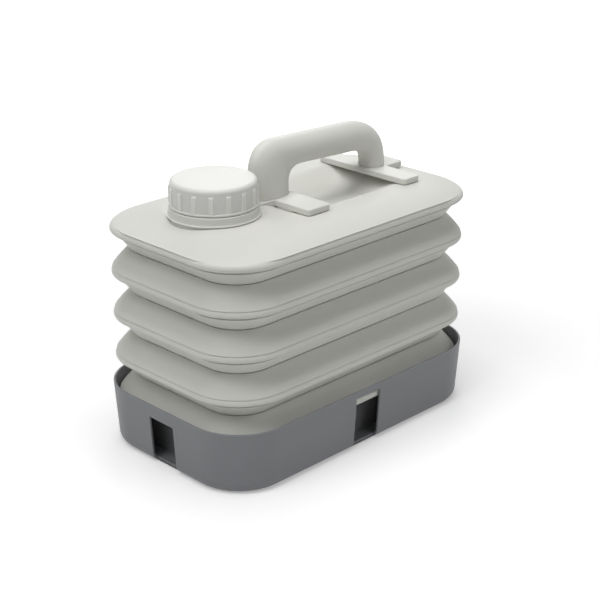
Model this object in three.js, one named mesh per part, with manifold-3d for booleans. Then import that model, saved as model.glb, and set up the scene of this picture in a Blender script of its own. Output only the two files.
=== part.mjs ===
// A collapsible water carrier: a bellows tank with two brackets, a grip and a screw cap,
// standing in a slotted tray. Millimetres and Z up. X runs along the long sides, with the cap
// towards -X and the rear of the handle towards +X. Z = 0 is the ground.
import * as THREE from 'three';
import { mergeVertices } from 'three/addons/utils/BufferGeometryUtils.js';
import Module from 'manifold-3d';

const wasm = await Module();
wasm.setup();

// Sizes shared by all pieces
const clearance = 0.3; // between pieces that seat on or beside each other
const overrun = 1; // how far a cutting solid runs past what it cuts

// The tray: a thin wall around a raised seat, with a slot in the middle of each side
const tray = {
  gapAlong: 1.3, // between the rim's inside and the tank's foot, at the ends
  gapAcross: 1.6, // and at the long sides
  height: 56.6,
  wall: 2,
  floor: 3,
  draft: 3, // how much smaller the foot is than the rim
  footRadius: 9,
  rimRadius: 0.6,
};
const seat = {
  gap: 17, // between the foot of the tray's wall and the foot of the seat
  height: 37.7,
  wall: 2.2,
  draft: 2,
  cornerRadius: 34,
  edgeRadius: 4,
};
const slot = {
  width: 30,
  longSideLintel: 6.6, // from the slot's top up to the rim
  shortSideLintel: 12.1,
  notch: 8.5, // how far the slot runs into the floor
};

// The bellows: each fold has a crowned upper wall, a crease, and a bead under the crease
const fold = {
  halfLength: 153.5,
  halfWidth: 92,
  cornerRadius: 49.5,
  pitch: 38.35,
  wall: 1.8,
  valleyRise: 16.5,
  valleyInset: 16.3,
  crown: 0.6,
  beadDrop: 6.8,
  beadInset: 3,
  beadCrown: 1.7,
};
const foldCount = 5; // the first is the shoulder of the tank and the last stands in the tray

// The tank's foot: the lowest fold, drawn in so that it clears the tray, and a flat floor
const foot = {
  drawIn: 1.2,
  beadLift: 2.6, // of the bead's lower edge over the underside
  floorInset: 9,
  floor: 2,
};

// The shoulder: a soft band up to a flat top, a mound round the neck, a dish for the fingers
const shoulder = {
  rise: 8.2,
  band: 40,
  mound: 4.4,
  moundReach: 32,
};
const dish = {
  frontEnd: 35, // from the neck's axis
  rearEnd: 32.5, // from the rear end of the tank
  halfWidth: 46,
  depth: 15.5,
  floorShare: 0.32,
};

// The mouth: neck, collar, cap and liner on one axis
const neck = {
  setback: 63.5, // of its axis from the front end of the tank
  bore: 28,
  wall: 2.6,
  lip: 1,
  flangeWidth: 3,
  flangeThickness: 2,
};
const collar = {
  radius: 39.4, // of its flared foot
  height: 7.8,
  flare: 1.5, // how far the foot stands out
  flareHeight: 3.6,
  edge: 0.9,
};
const cap = {
  gap: 0.6, // over the collar
  radius: 37.5,
  height: 22,
  wall: 2.4,
  topWall: 2.2,
  flangeHeight: 1.7,
  flangeEdge: 0.4,
  ribHeight: 1,
  ribWidth: 5,
  ribCrestWidth: 3.6,
  ribStop: 4.8, // from the cap's top down to the ribs' ends
  ribRun: 1.2,
  crownRadius: 3.6,
};
const ribCount = 16;
const liner = {
  thickness: 1.5,
};

// The brackets under the grip's feet: a plate across the tank and a tab along it. The front
// tab is deeper and ends in a ring under the collar. Places at the front are from the neck's
// axis and places at the rear from the rear end of the tank.
const bracket = {
  ringWidth: 7.1,
  ringThickness: 6.8,
  tabHalfWidth: 12.5,
  frontTabDepth: 8,
  collarGap: 0.6,
  plateThickness: 5.7,
  plateHalfSpan: 53,
  cornerRadius: 4,
  frontPlate: [57, 84],
  rearPlate: [66.5, 45.5],
  rearTabEnd: 22.5,
  edge: 1.2,
};

// The grip: a wide front leg, an oval bar that falls a little to the rear, and a rear leg.
// Its places are given as the brackets' are.
const grip = {
  frontLeg: [40.2, 83],
  rearLeg: [63.9, 41.1],
  halfWidth: 12,
  radius: 14.1,
  frontHeight: 35.3,
  rearHeight: 32.5,
  innerBend: 13,
  outerFrontBend: 26,
  outerFrontDrop: 31,
  outerRearBend: 54,
  outerRearDrop: 43,
};
const screw = {
  frontPlaces: [53, 73], // from the neck's axis
  radius: 2,
  length: 22,
  headRadius: 3.8,
  headHeight: 2.4,
};

// Steps of the faceted curves
const wallSteps = { corner: 7, long: 1, short: 1 };
const shoulderSteps = { corner: 7, long: 8, short: 2 };
const turnSides = 40;
const screwSides = 10;
const beadSteps = 3;
const crownSteps = 5;
const roundSteps = 3;

// Places along the tank
const neckX = neck.setback - fold.halfLength;
const fromNeck = (distance) => neckX + distance;
const fromRear = (distance) => fold.halfLength - distance;
const frontPlate = bracket.frontPlate.map(fromNeck);
const rearPlate = bracket.rearPlate.map(fromRear);
const frontLeg = grip.frontLeg.map(fromNeck);
const rearLeg = grip.rearLeg.map(fromRear);

// The plan of the tray's rim, round the foot of the tank
const rimPlan = {
  halfLength: fold.halfLength - foot.drawIn + tray.gapAlong + tray.wall,
  halfWidth: fold.halfWidth - foot.drawIn + tray.gapAcross + tray.wall,
  cornerRadius: fold.cornerRadius,
};

// Heights, from the tray upward
const tankBottom = seat.height + clearance;
const lowestCrease = tankBottom + foot.beadLift + fold.beadDrop;
const shoulderCrease = creaseHeight(1);
const shoulderTop = shoulderCrease + shoulder.rise;
const plateBottom = shoulderTop + clearance;
const plateTop = plateBottom + bracket.plateThickness;
const ringBottom = plateTop - bracket.frontTabDepth;
const ringSeat = ringBottom - clearance;
const collarBottom = ringBottom + bracket.ringThickness + clearance;
const collarTop = collarBottom + collar.height;
const capBottom = collarTop + cap.gap;
const capTop = capBottom + cap.height;
const linerTop = capTop - cap.topWall - clearance;
const neckTop = linerTop - liner.thickness - clearance;
const neckRadius = neck.bore + neck.wall;
const gripBottom = plateTop + clearance;

function creaseHeight(number) {
  return lowestCrease + (foldCount - number) * fold.pitch;
}

// Points and sections

function smooth(share) {
  const t = THREE.MathUtils.clamp(share, 0, 1);
  return t * t * (3 - 2 * t);
}

// From one point to another, swelling to the right-hand side by the crown
function crowned(from, to, crown, steps) {
  const side = new THREE.Vector2(to.y - from.y, from.x - to.x).normalize();
  const points = [];
  for (let step = 0; step <= steps; step += 1) {
    const t = step / steps;
    points.push(from.clone().lerp(to, t).addScaledVector(side, 4 * crown * t * (1 - t)));
  }
  return points;
}

// A quarter of a circle from one angle on, counter-clockwise, angles in quarter turns
function quarterArc(centre, radius, firstQuarter, steps) {
  const points = [];
  for (let step = 0; step <= steps; step += 1) {
    const angle = (firstQuarter + step / steps) * Math.PI / 2;
    const arm = new THREE.Vector2(Math.cos(angle), Math.sin(angle));
    points.push(centre.clone().addScaledVector(arm, radius));
  }
  return points;
}

// The rounded rectangle of a plan, counter-clockwise, with the same count at every size
function roundedOutline({ halfLength, halfWidth, cornerRadius }, steps) {
  const signs = [[1, 1], [-1, 1], [-1, -1], [1, -1]];
  const arcs = signs.map(([signX, signY], corner) => {
    const x = signX * (halfLength - cornerRadius);
    const y = signY * (halfWidth - cornerRadius);
    return quarterArc(new THREE.Vector2(x, y), cornerRadius, corner, steps.corner);
  });
  return arcs.flatMap((arc, corner) => {
    const last = arc[arc.length - 1];
    const next = arcs[(corner + 1) % arcs.length][0];
    const runs = corner % 2 === 0 ? steps.long : steps.short;
    const run = [];
    for (let step = 1; step < runs; step += 1) {
      run.push(last.clone().lerp(next, step / runs));
    }
    return [...arc, ...run];
  });
}

// A plan drawn in by an inset, its corners never tighter than a share of its width
function drawnIn(plan, inset, softShare = 0) {
  const halfWidth = plan.halfWidth - inset;
  return {
    halfLength: plan.halfLength - inset,
    halfWidth,
    cornerRadius: Math.max(plan.cornerRadius - inset, softShare * halfWidth),
  };
}

function levelRing(plan, height, steps = wallSteps) {
  return roundedOutline(plan, steps).map(({ x, y }) => new THREE.Vector3(x, y, height));
}

// The rings of a section, whose points are (outward from the plan, height)
function sectionRings(plan, section, steps = wallSteps) {
  return section.map(({ x, y }) => levelRing(drawnIn(plan, -x), y, steps));
}

// Surfaces and solids

// A skin over rings of equal count: closed on itself, or with a flat cap at each end
function skinned(rings, closed = false) {
  const count = rings[0].length;
  const points = rings.flat();
  const faces = [];
  const joins = closed ? rings.length : rings.length - 1;
  for (let row = 0; row < joins; row += 1) {
    const lower = row * count;
    const upper = ((row + 1) % rings.length) * count;
    for (let i = 0; i < count; i += 1) {
      const next = (i + 1) % count;
      faces.push([lower + i, lower + next, upper + next], [lower + i, upper + next, upper + i]);
    }
  }
  if (!closed) {
    const last = (rings.length - 1) * count;
    const bottom = points.push(middleOf(rings[0])) - 1;
    const top = points.push(middleOf(rings[rings.length - 1])) - 1;
    for (let i = 0; i < count; i += 1) {
      const next = (i + 1) % count;
      faces.push([bottom, next, i], [top, last + i, last + next]);
    }
  }
  const geometry = new THREE.BufferGeometry().setFromPoints(points);
  geometry.setIndex(faces.flat());
  return geometry;
}

function middleOf(ring) {
  const sum = ring.reduce((total, point) => total.add(point), new THREE.Vector3());
  return sum.divideScalar(ring.length);
}

// A closed geometry as a solid that can be joined and cut
function solidOf(geometry) {
  const bare = new THREE.BufferGeometry();
  bare.setAttribute('position', geometry.getAttribute('position'));
  bare.setIndex(geometry.index);
  const merged = mergeVertices(bare);
  const corners = merged.index.array;
  const kept = [];
  for (let i = 0; i < corners.length; i += 3) {
    const [a, b, c] = corners.slice(i, i + 3);
    if (a !== b && b !== c && c !== a) {
      kept.push(a, b, c);
    }
  }
  const mesh = new wasm.Mesh({
    numProp: 3,
    vertProperties: Float32Array.from(merged.getAttribute('position').array),
    triVerts: Uint32Array.from(kept),
  });
  return new wasm.Manifold(mesh);
}

function geometryOf(solid) {
  const { vertProperties, triVerts } = solid.getMesh();
  const geometry = new THREE.BufferGeometry();
  geometry.setAttribute('position', new THREE.BufferAttribute(vertProperties, 3));
  geometry.setIndex(new THREE.BufferAttribute(triVerts, 1));
  return geometry;
}

function joined(first, ...others) {
  return others.reduce((whole, other) => whole.add(other), first);
}

function cut(first, ...others) {
  return others.reduce((rest, other) => rest.subtract(other), first);
}

function block([lowX, highX], [lowY, highY], [lowZ, highZ]) {
  const geometry = new THREE.BoxGeometry(highX - lowX, highY - lowY, highZ - lowZ);
  geometry.translate((lowX + highX) / 2, (lowY + highY) / 2, (lowZ + highZ) / 2);
  return solidOf(geometry);
}

// An upright cylinder on a place along X
function post(centreX, radius, [low, high], sides = turnSides) {
  const geometry = new THREE.CylinderGeometry(radius, radius, high - low, sides);
  geometry.rotateX(Math.PI / 2);
  geometry.translate(centreX, 0, (low + high) / 2);
  return solidOf(geometry);
}

// A turned ring or tube on the neck's axis, from a closed outline of (radius, height)
function turned(outline) {
  const profile = outline.map(([radius, height]) => new THREE.Vector2(radius, height));
  const geometry = new THREE.LatheGeometry([...profile, profile[0]], turnSides);
  geometry.rotateX(Math.PI / 2);
  geometry.translate(neckX, 0, 0);
  return solidOf(geometry);
}

// A flat bar of a bracket, with rounded corners in plan and softened edges
function slab([lowX, highX], halfWidth, [low, high]) {
  const plan = {
    halfLength: (highX - lowX) / 2 - bracket.edge,
    halfWidth: halfWidth - bracket.edge,
    cornerRadius: bracket.cornerRadius - bracket.edge,
  };
  const outline = roundedOutline(plan, { corner: roundSteps, long: 1, short: 1 });
  const geometry = new THREE.ExtrudeGeometry(new THREE.Shape(outline), {
    depth: high - low - 2 * bracket.edge,
    bevelThickness: bracket.edge,
    bevelSize: bracket.edge,
    bevelSegments: 2,
  });
  geometry.translate((lowX + highX) / 2, 0, low + bracket.edge);
  return solidOf(geometry);
}

// Tray

function trayOutside() {
  const footPlan = drawnIn(rimPlan, tray.draft);
  const corner = new THREE.Vector2(-tray.footRadius, tray.footRadius);
  const rimCorner = new THREE.Vector2(-tray.rimRadius, tray.height - tray.rimRadius);
  return solidOf(skinned([
    ...sectionRings(footPlan, quarterArc(corner, tray.footRadius, 3, roundSteps)),
    ...sectionRings(rimPlan, quarterArc(rimCorner, tray.rimRadius, 0, 1)),
  ]));
}

function trayInside() {
  const footPlan = drawnIn(rimPlan, tray.draft + tray.wall);
  const mouthPlan = drawnIn(rimPlan, tray.wall);
  const radius = tray.footRadius - tray.wall;
  const corner = new THREE.Vector2(-radius, tray.floor + radius);
  return solidOf(skinned([
    ...sectionRings(footPlan, quarterArc(corner, radius, 3, roundSteps)),
    levelRing(mouthPlan, tray.height),
    levelRing(mouthPlan, tray.height + overrun),
  ]));
}

// The raised seat's outside, or its hollow underside when drawn in by the seat's wall
function seatBody(wall, bottom) {
  const footPlan = {
    ...drawnIn(rimPlan, tray.draft + tray.wall + seat.gap + wall),
    cornerRadius: seat.cornerRadius - wall,
  };
  const topPlan = drawnIn(footPlan, seat.draft);
  const radius = seat.edgeRadius - wall;
  const corner = new THREE.Vector2(-radius, seat.height - wall - radius);
  return solidOf(skinned([
    levelRing(footPlan, bottom),
    ...sectionRings(topPlan, quarterArc(corner, radius, 0, roundSteps)),
  ]));
}

function traySlots() {
  const halfSlot = slot.width / 2;
  const longSide = [-overrun, tray.height - slot.longSideLintel];
  const shortSide = [-overrun, tray.height - slot.shortSideLintel];
  const cuts = [];
  for (const side of [-1, 1]) {
    const outX = side * (rimPlan.halfLength + overrun);
    const inX = side * (rimPlan.halfLength - slot.notch);
    const outY = side * (rimPlan.halfWidth + overrun);
    const inY = side * (rimPlan.halfWidth - slot.notch);
    const acrossX = [Math.min(outX, inX), Math.max(outX, inX)];
    const acrossY = [Math.min(outY, inY), Math.max(outY, inY)];
    cuts.push(block(acrossX, [-halfSlot, halfSlot], shortSide));
    cuts.push(block([-halfSlot, halfSlot], acrossY, longSide));
  }
  return cuts;
}

function trayGeometry() {
  const cavity = cut(trayInside(), seatBody(0, 0));
  return geometryOf(cut(trayOutside(), cavity, seatBody(seat.wall, -overrun), ...traySlots()));
}

// Bellows

// Outer or inner face of a fold from the bead's lower edge up to the valley
function foldFace(crease, depth, steps) {
  const edge = new THREE.Vector2(-fold.beadInset - depth, crease - fold.beadDrop);
  const creasePoint = new THREE.Vector2(-depth, crease);
  const valley = new THREE.Vector2(-fold.valleyInset, crease + fold.valleyRise - depth);
  return [
    ...crowned(edge, creasePoint, fold.beadCrown, steps.bead),
    ...crowned(creasePoint, valley, fold.crown, steps.crown).slice(1),
  ];
}

const outerFaceSteps = { bead: beadSteps, crown: crownSteps };
const innerFaceSteps = { bead: 1, crown: crownSteps - 2 };

function foldGeometry(number) {
  const crease = creaseHeight(number);
  const outer = foldFace(crease, 0, outerFaceSteps);
  const inner = foldFace(crease, fold.wall, innerFaceSteps).reverse();
  return skinned(sectionRings(fold, [...outer, ...inner]), true);
}

// The straight lower wall of a fold, from under its bead to the valley below
function webGeometry(number) {
  const crease = creaseHeight(number);
  const top = crease - fold.beadDrop - clearance;
  const bottom = crease - fold.pitch + fold.valleyRise + clearance;
  const outerTop = fold.beadInset + clearance;
  const outerBottom = fold.valleyInset + clearance;
  const slope = Math.hypot(outerBottom - outerTop, top - bottom) / (top - bottom);
  const wall = fold.wall * slope;
  return skinned(sectionRings(fold, [
    new THREE.Vector2(-outerBottom, bottom),
    new THREE.Vector2(-outerTop, top),
    new THREE.Vector2(-outerTop - wall, top),
    new THREE.Vector2(-outerBottom - wall, bottom),
  ]), true);
}

function footGeometry() {
  const plan = drawnIn(fold, foot.drawIn);
  const outer = foldFace(lowestCrease, 0, outerFaceSteps);
  const inner = foldFace(lowestCrease, fold.wall, innerFaceSteps).reverse();
  return skinned(sectionRings(plan, [
    new THREE.Vector2(-foot.floorInset, tankBottom),
    ...outer,
    ...inner,
    new THREE.Vector2(-foot.floorInset - fold.wall, tankBottom + foot.floor),
  ]));
}

// Shoulder

function shoulderHeight(x, y, inset) {
  const bandShare = Math.min(inset / shoulder.band, 1);
  const pillow = shoulder.rise * (1 - (1 - bandShare) ** 2);
  const fromCollar = Math.hypot(x - neckX, y) - collar.radius;
  const mound = shoulder.mound * (1 - smooth(fromCollar / shoulder.moundReach)) * smooth(bandShare);
  const dishRun = 1 - dish.floorShare;
  const dishFront = fromNeck(dish.frontEnd);
  const dishRear = fromRear(dish.rearEnd);
  const dishMiddle = (dishFront + dishRear) / 2;
  const alongShare = (Math.abs(x - dishMiddle) / (dishRear - dishMiddle) - dish.floorShare) / dishRun;
  const acrossShare = (Math.abs(y) / dish.halfWidth - dish.floorShare) / dishRun;
  const hollow = dish.depth * (1 - smooth(alongShare)) * (1 - smooth(acrossShare));
  return shoulderCrease + pillow + mound - hollow;
}

const shoulderSoftShare = 0.6;
const shoulderInsetShares = [0, 0.03, 0.08, 0.15, 0.24, 0.34, 0.45, 0.55, 0.65, 0.75, 0.86, 1];

// The bead and the top skin; depth 0 is the outside and the wall's thickness the inside
function shoulderBody(depth) {
  const edge = new THREE.Vector2(-fold.beadInset - depth, shoulderCrease - fold.beadDrop);
  const crease = new THREE.Vector2(-depth, shoulderCrease - depth);
  const bead = sectionRings(fold, crowned(edge, crease, fold.beadCrown, beadSteps), shoulderSteps);
  const top = shoulderInsetShares.slice(1).map((share) => {
    const inset = share * (fold.halfWidth - depth);
    const plan = drawnIn(fold, depth + inset, shoulderSoftShare);
    return roundedOutline(plan, shoulderSteps).map(({ x, y }) => {
      return new THREE.Vector3(x, y, shoulderHeight(x, y, depth + inset) - depth);
    });
  });
  const mouth = depth > 0 ? [levelRing(drawnIn(fold, -edge.x), edge.y - overrun, shoulderSteps)] : [];
  return solidOf(skinned([...mouth, ...bead, ...top]));
}

// The round seat and the channel in which the front bracket's ring and tab lie
function bracketBed(margin, low) {
  const halfWidth = bracket.tabHalfWidth + margin;
  const alongX = [neckX, frontPlate[1] + margin];
  return joined(
    post(neckX, collar.radius + margin, [low, capTop]),
    block(alongX, [-halfWidth, halfWidth], [low, capTop]),
  );
}

function shoulderGeometry() {
  const outside = cut(shoulderBody(0), bracketBed(clearance, ringSeat));
  const inside = cut(shoulderBody(fold.wall), bracketBed(clearance + fold.wall, ringSeat - fold.wall));
  const hole = post(neckX, neckRadius + clearance, [tankBottom, capTop]);
  return geometryOf(cut(outside, inside, hole));
}

// Mouth

function neckGeometry() {
  const flangeTop = ringSeat - fold.wall - clearance;
  const flangeRadius = neckRadius + neck.flangeWidth;
  return geometryOf(turned([
    [neck.bore, flangeTop - neck.flangeThickness],
    [flangeRadius, flangeTop - neck.flangeThickness],
    [flangeRadius, flangeTop],
    [neckRadius, flangeTop],
    [neckRadius, neckTop - neck.lip],
    [neckRadius - neck.lip, neckTop],
    [neck.bore + neck.lip, neckTop],
    [neck.bore, neckTop - neck.lip],
  ]));
}

function collarGeometry() {
  const bore = neckRadius + clearance;
  const waist = collar.radius - collar.flare;
  const flare = new THREE.QuadraticBezierCurve(
    new THREE.Vector2(collar.radius, collarBottom),
    new THREE.Vector2(waist, collarBottom),
    new THREE.Vector2(waist, collarBottom + collar.flareHeight),
  );
  return geometryOf(turned([
    [bore, collarBottom],
    ...flare.getPoints(roundSteps).map(({ x, y }) => [x, y]),
    [waist, collarTop - collar.edge],
    [waist - collar.edge, collarTop],
    [bore, collarTop],
  ]));
}

// A ring of the cap's outside: the crests of its ribs may stand out from its panels
function capRing(height, panelRadius, crestRadius) {
  const pitch = 2 * Math.PI / ribCount;
  const rootTurn = cap.ribWidth / 2 / panelRadius;
  const crestTurn = cap.ribCrestWidth / 2 / panelRadius;
  const corners = [
    [-rootTurn, panelRadius],
    [-crestTurn, crestRadius],
    [crestTurn, crestRadius],
    [rootTurn, panelRadius],
    [pitch / 2, panelRadius],
  ];
  const points = [];
  for (let rib = 0; rib < ribCount; rib += 1) {
    for (const [turn, radius] of corners) {
      const angle = rib * pitch + turn;
      const x = neckX + radius * Math.cos(angle);
      points.push(new THREE.Vector3(x, radius * Math.sin(angle), height));
    }
  }
  return points;
}

function capGeometry() {
  const panel = cap.radius - cap.ribHeight - cap.flangeEdge;
  const crest = panel + cap.ribHeight;
  const flangeTop = capBottom + cap.flangeHeight;
  const ribTop = capTop - cap.ribStop;
  const crownCentre = new THREE.Vector2(panel - cap.crownRadius, capTop - cap.crownRadius);
  const crown = quarterArc(crownCentre, cap.crownRadius, 0, roundSteps);
  const body = solidOf(skinned([
    capRing(capBottom, cap.radius - cap.flangeEdge, cap.radius - cap.flangeEdge),
    capRing(capBottom + cap.flangeEdge, cap.radius, cap.radius),
    capRing(flangeTop, cap.radius, cap.radius),
    capRing(flangeTop, panel, crest),
    capRing(ribTop - cap.ribRun, panel, crest),
    capRing(ribTop, panel, panel),
    ...crown.map(({ x, y }) => capRing(y, x, x)),
  ]));
  const inside = post(neckX, panel - cap.wall, [capBottom - overrun, capTop - cap.topWall]);
  return geometryOf(cut(body, inside));
}

function linerGeometry() {
  const radius = cap.radius - cap.ribHeight - cap.flangeEdge - cap.wall - clearance;
  return geometryOf(post(neckX, radius, [linerTop - liner.thickness, linerTop]));
}

// Brackets, grip and screws

// Each screw's place along X, with the underside of the bracket that it comes up through
function screwPlaces() {
  const front = screw.frontPlaces.map((place) => [fromNeck(place), ringBottom]);
  return [...front, [(rearLeg[0] + rearLeg[1]) / 2, plateBottom]];
}

// A screw sunk in a bracket's underside, or with a margin the hole that it sits in
function screwSolid([place, underside], margin) {
  const headBottom = underside + clearance;
  const low = margin > 0 ? underside - overrun : headBottom;
  const shoulderLevel = headBottom + screw.headHeight + margin;
  const tip = headBottom + screw.length + margin;
  return joined(
    post(place, screw.headRadius + margin, [low, shoulderLevel], screwSides),
    post(place, screw.radius + margin, [low, tip], screwSides),
  );
}

function screwHoles() {
  return screwPlaces().map((place) => screwSolid(place, clearance));
}

function frontBracketGeometry() {
  const bore = neckRadius + clearance;
  const ringTop = ringBottom + bracket.ringThickness;
  const ringRadius = bore + bracket.ringWidth;
  const tabStart = neckX + collar.radius + bracket.collarGap;
  const linkHalfWidth = bracket.tabHalfWidth - bracket.edge;
  const ring = turned([
    [bore, ringBottom],
    [ringRadius, ringBottom],
    [ringRadius, ringTop],
    [bore, ringTop],
  ]);
  const link = block(
    [neckX + bore + bracket.ringWidth / 2, tabStart + 2 * bracket.edge],
    [-linkHalfWidth, linkHalfWidth],
    [ringBottom, ringTop],
  );
  const alongTab = [tabStart, frontPlate[1]];
  const tab = slab(alongTab, bracket.tabHalfWidth, [ringBottom, plateTop]);
  const plate = slab(frontPlate, bracket.plateHalfSpan, [plateBottom, plateTop]);
  return geometryOf(cut(joined(ring, link, tab, plate), ...screwHoles()));
}

function rearBracketGeometry() {
  const levels = [plateBottom, plateTop];
  const alongTab = [rearPlate[0], fromRear(bracket.rearTabEnd)];
  const tab = slab(alongTab, bracket.tabHalfWidth, levels);
  const plate = slab(rearPlate, bracket.plateHalfSpan, levels);
  return geometryOf(cut(joined(plate, tab), ...screwHoles()));
}

// One side of the grip's outline: up the front leg, along the bar, down the rear leg
function gripEdge(frontX, rearX, side, bends) {
  const frontZ = plateTop + grip.frontHeight + side * grip.radius;
  const rearZ = plateTop + grip.rearHeight + side * grip.radius;
  const at = (x, z) => new THREE.Vector2(x, z);
  const frontFoot = at(frontX, gripBottom);
  const frontTurn = at(frontX, frontZ - bends.frontDrop);
  const frontBar = at(frontX + bends.front, frontZ);
  const rearBar = at(rearX - bends.rear, rearZ);
  const rearTurn = at(rearX, rearZ - bends.rearDrop);
  const rearFoot = at(rearX, gripBottom);
  return [
    new THREE.LineCurve(frontFoot, frontTurn),
    new THREE.QuadraticBezierCurve(frontTurn, at(frontX, frontZ), frontBar),
    new THREE.LineCurve(frontBar, rearBar),
    new THREE.QuadraticBezierCurve(rearBar, at(rearX, rearZ), rearTurn),
    new THREE.LineCurve(rearTurn, rearFoot),
  ];
}

const gripRunSteps = [2, 6, 4, 6, 2];
const gripSides = 16;

function gripGeometry() {
  const outer = gripEdge(frontLeg[0], rearLeg[1], 1, {
    front: grip.outerFrontBend,
    frontDrop: grip.outerFrontDrop,
    rear: grip.outerRearBend,
    rearDrop: grip.outerRearDrop,
  });
  const inner = gripEdge(frontLeg[1], rearLeg[0], -1, {
    front: grip.innerBend,
    frontDrop: grip.innerBend,
    rear: grip.innerBend,
    rearDrop: grip.innerBend,
  });
  const rings = [];
  gripRunSteps.forEach((steps, run) => {
    for (let step = run === 0 ? 0 : 1; step <= steps; step += 1) {
      rings.push(gripRing(outer[run].getPoint(step / steps), inner[run].getPoint(step / steps)));
    }
  });
  return geometryOf(cut(solidOf(skinned(rings)), ...screwHoles()));
}

// An oval ring between two facing points of the grip's outline
function gripRing(outerPoint, innerPoint) {
  const middle = outerPoint.clone().add(innerPoint).divideScalar(2);
  const arm = outerPoint.clone().sub(middle);
  const ring = [];
  for (let side = 0; side < gripSides; side += 1) {
    const angle = 2 * Math.PI * side / gripSides;
    const point = middle.clone().addScaledVector(arm, Math.cos(angle));
    ring.push(new THREE.Vector3(point.x, -grip.halfWidth * Math.sin(angle), point.y));
  }
  return ring;
}

// Finishes and assembly

const finishes = {
  tank: { color: 0xd3d3ca, roughness: 0.55, metalness: 0 },
  rigid: { color: 0xd6d6ce, roughness: 0.5, metalness: 0 },
  cap: { color: 0xdedfd9, roughness: 0.45, metalness: 0 },
  tray: { color: 0x7d7f84, roughness: 0.6, metalness: 0 },
  liner: { color: 0xf0f0ec, roughness: 0.9, metalness: 0 },
  steel: { color: 0xa8abae, roughness: 0.35, metalness: 1 },
};

const carrier = new THREE.Group();

function addPiece(name, geometry, finish) {
  const piece = new THREE.Mesh(geometry, new THREE.MeshStandardMaterial(finishes[finish]));
  piece.name = name;
  carrier.add(piece);
}

addPiece('tray', trayGeometry(), 'tray');
addPiece('tank_foot', footGeometry(), 'tank');
for (let number = foldCount - 1; number > 1; number -= 1) {
  addPiece(`fold_${number}`, foldGeometry(number), 'tank');
}
for (let number = foldCount - 1; number > 0; number -= 1) {
  addPiece(`web_${number}`, webGeometry(number), 'tank');
}
addPiece('shoulder', shoulderGeometry(), 'tank');
addPiece('neck', neckGeometry(), 'rigid');
addPiece('collar', collarGeometry(), 'rigid');
addPiece('front_bracket', frontBracketGeometry(), 'rigid');
addPiece('rear_bracket', rearBracketGeometry(), 'rigid');
addPiece('grip', gripGeometry(), 'rigid');
screwPlaces().forEach((place, index) => {
  addPiece(`grip_screw_${index + 1}`, geometryOf(screwSolid(place, 0)), 'steel');
});
addPiece('cap', capGeometry(), 'cap');
addPiece('cap_liner', linerGeometry(), 'liner');

export default carrier;
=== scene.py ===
"""The dressed model of a collapsible water carrier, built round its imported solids.

Sizes in the classes are millimetres; meshes and node inputs are in metres. X runs along
the long sides, with the cap towards -X. Z is up and Z = 0 is the ground.
"""

import logging
import math
from collections.abc import Callable, Iterable, Mapping, Sequence
from dataclasses import dataclass
from enum import Enum

import bmesh
import bpy
import numpy as np
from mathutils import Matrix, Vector


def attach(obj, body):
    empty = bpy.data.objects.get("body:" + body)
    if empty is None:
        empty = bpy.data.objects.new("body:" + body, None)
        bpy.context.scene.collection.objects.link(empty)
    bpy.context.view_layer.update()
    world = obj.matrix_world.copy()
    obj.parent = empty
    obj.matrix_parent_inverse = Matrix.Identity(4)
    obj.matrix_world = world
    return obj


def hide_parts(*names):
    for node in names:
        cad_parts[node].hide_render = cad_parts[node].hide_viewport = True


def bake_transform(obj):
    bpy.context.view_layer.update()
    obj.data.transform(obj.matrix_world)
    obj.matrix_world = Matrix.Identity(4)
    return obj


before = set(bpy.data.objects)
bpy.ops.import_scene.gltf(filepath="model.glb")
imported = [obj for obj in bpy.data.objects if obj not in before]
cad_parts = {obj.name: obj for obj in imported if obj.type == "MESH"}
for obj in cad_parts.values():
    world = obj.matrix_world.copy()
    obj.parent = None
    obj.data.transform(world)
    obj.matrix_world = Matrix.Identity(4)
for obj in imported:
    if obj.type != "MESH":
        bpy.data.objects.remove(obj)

MM = 0.001  # metres in a millimetre
CLEARANCE = 0.3  # between pieces that seat on or beside each other
OVERRUN = 1.0  # how far a cutting solid runs past what it cuts
TUCK = 0.25  # how far a web's edges reach behind the folds that they join
DOUBLES = 0.002  # how near two points count as one
BEAD_STEPS = 10  # the steps of a bead's outside
INNER_STEPS = 6  # the steps of its inside
PIN_HOLE = 0.02  # how far a turned piece's middle stays off its axis, so that no face shrinks to a line
WHITE = (1.0, 1.0, 1.0, 1.0)
TURN_STEPS = 128  # the steps of a turned piece
EDGE_STEPS = 4  # the steps of a bar's or a rim's round edge
CORNER_STEPS = 6  # the steps of a bar's corner

log = logging.getLogger("carrier")


class Body(Enum):
    """The bodies that pieces ride on."""

    TRAY = "tray"
    BASE = "tank_base"
    LOWER = "lower_fold"
    MIDDLE = "middle_fold"
    UPPER = "upper_fold"
    TOP = "tank_top"
    RIDER = "cap_rider"
    CAP = "cap"


class Slot(Enum):
    """The material slots that the pieces are dressed in."""

    TANK = "tank_plastic"
    RIGID = "rigid_plastic"
    CAP = "cap_plastic"
    TRAY = "tray_plastic"
    LINER = "liner_foam"
    STEEL = "screw_steel"


class Cut(Enum):
    """How one solid works on another."""

    AWAY = "DIFFERENCE"
    JOINED = "UNION"


# Plans, sections and skins


@dataclass(frozen=True)
class RingSteps:
    """How many steps a ring has on each corner, long side and short side."""

    corner: int = 20
    long: int = 1
    short: int = 1


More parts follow.
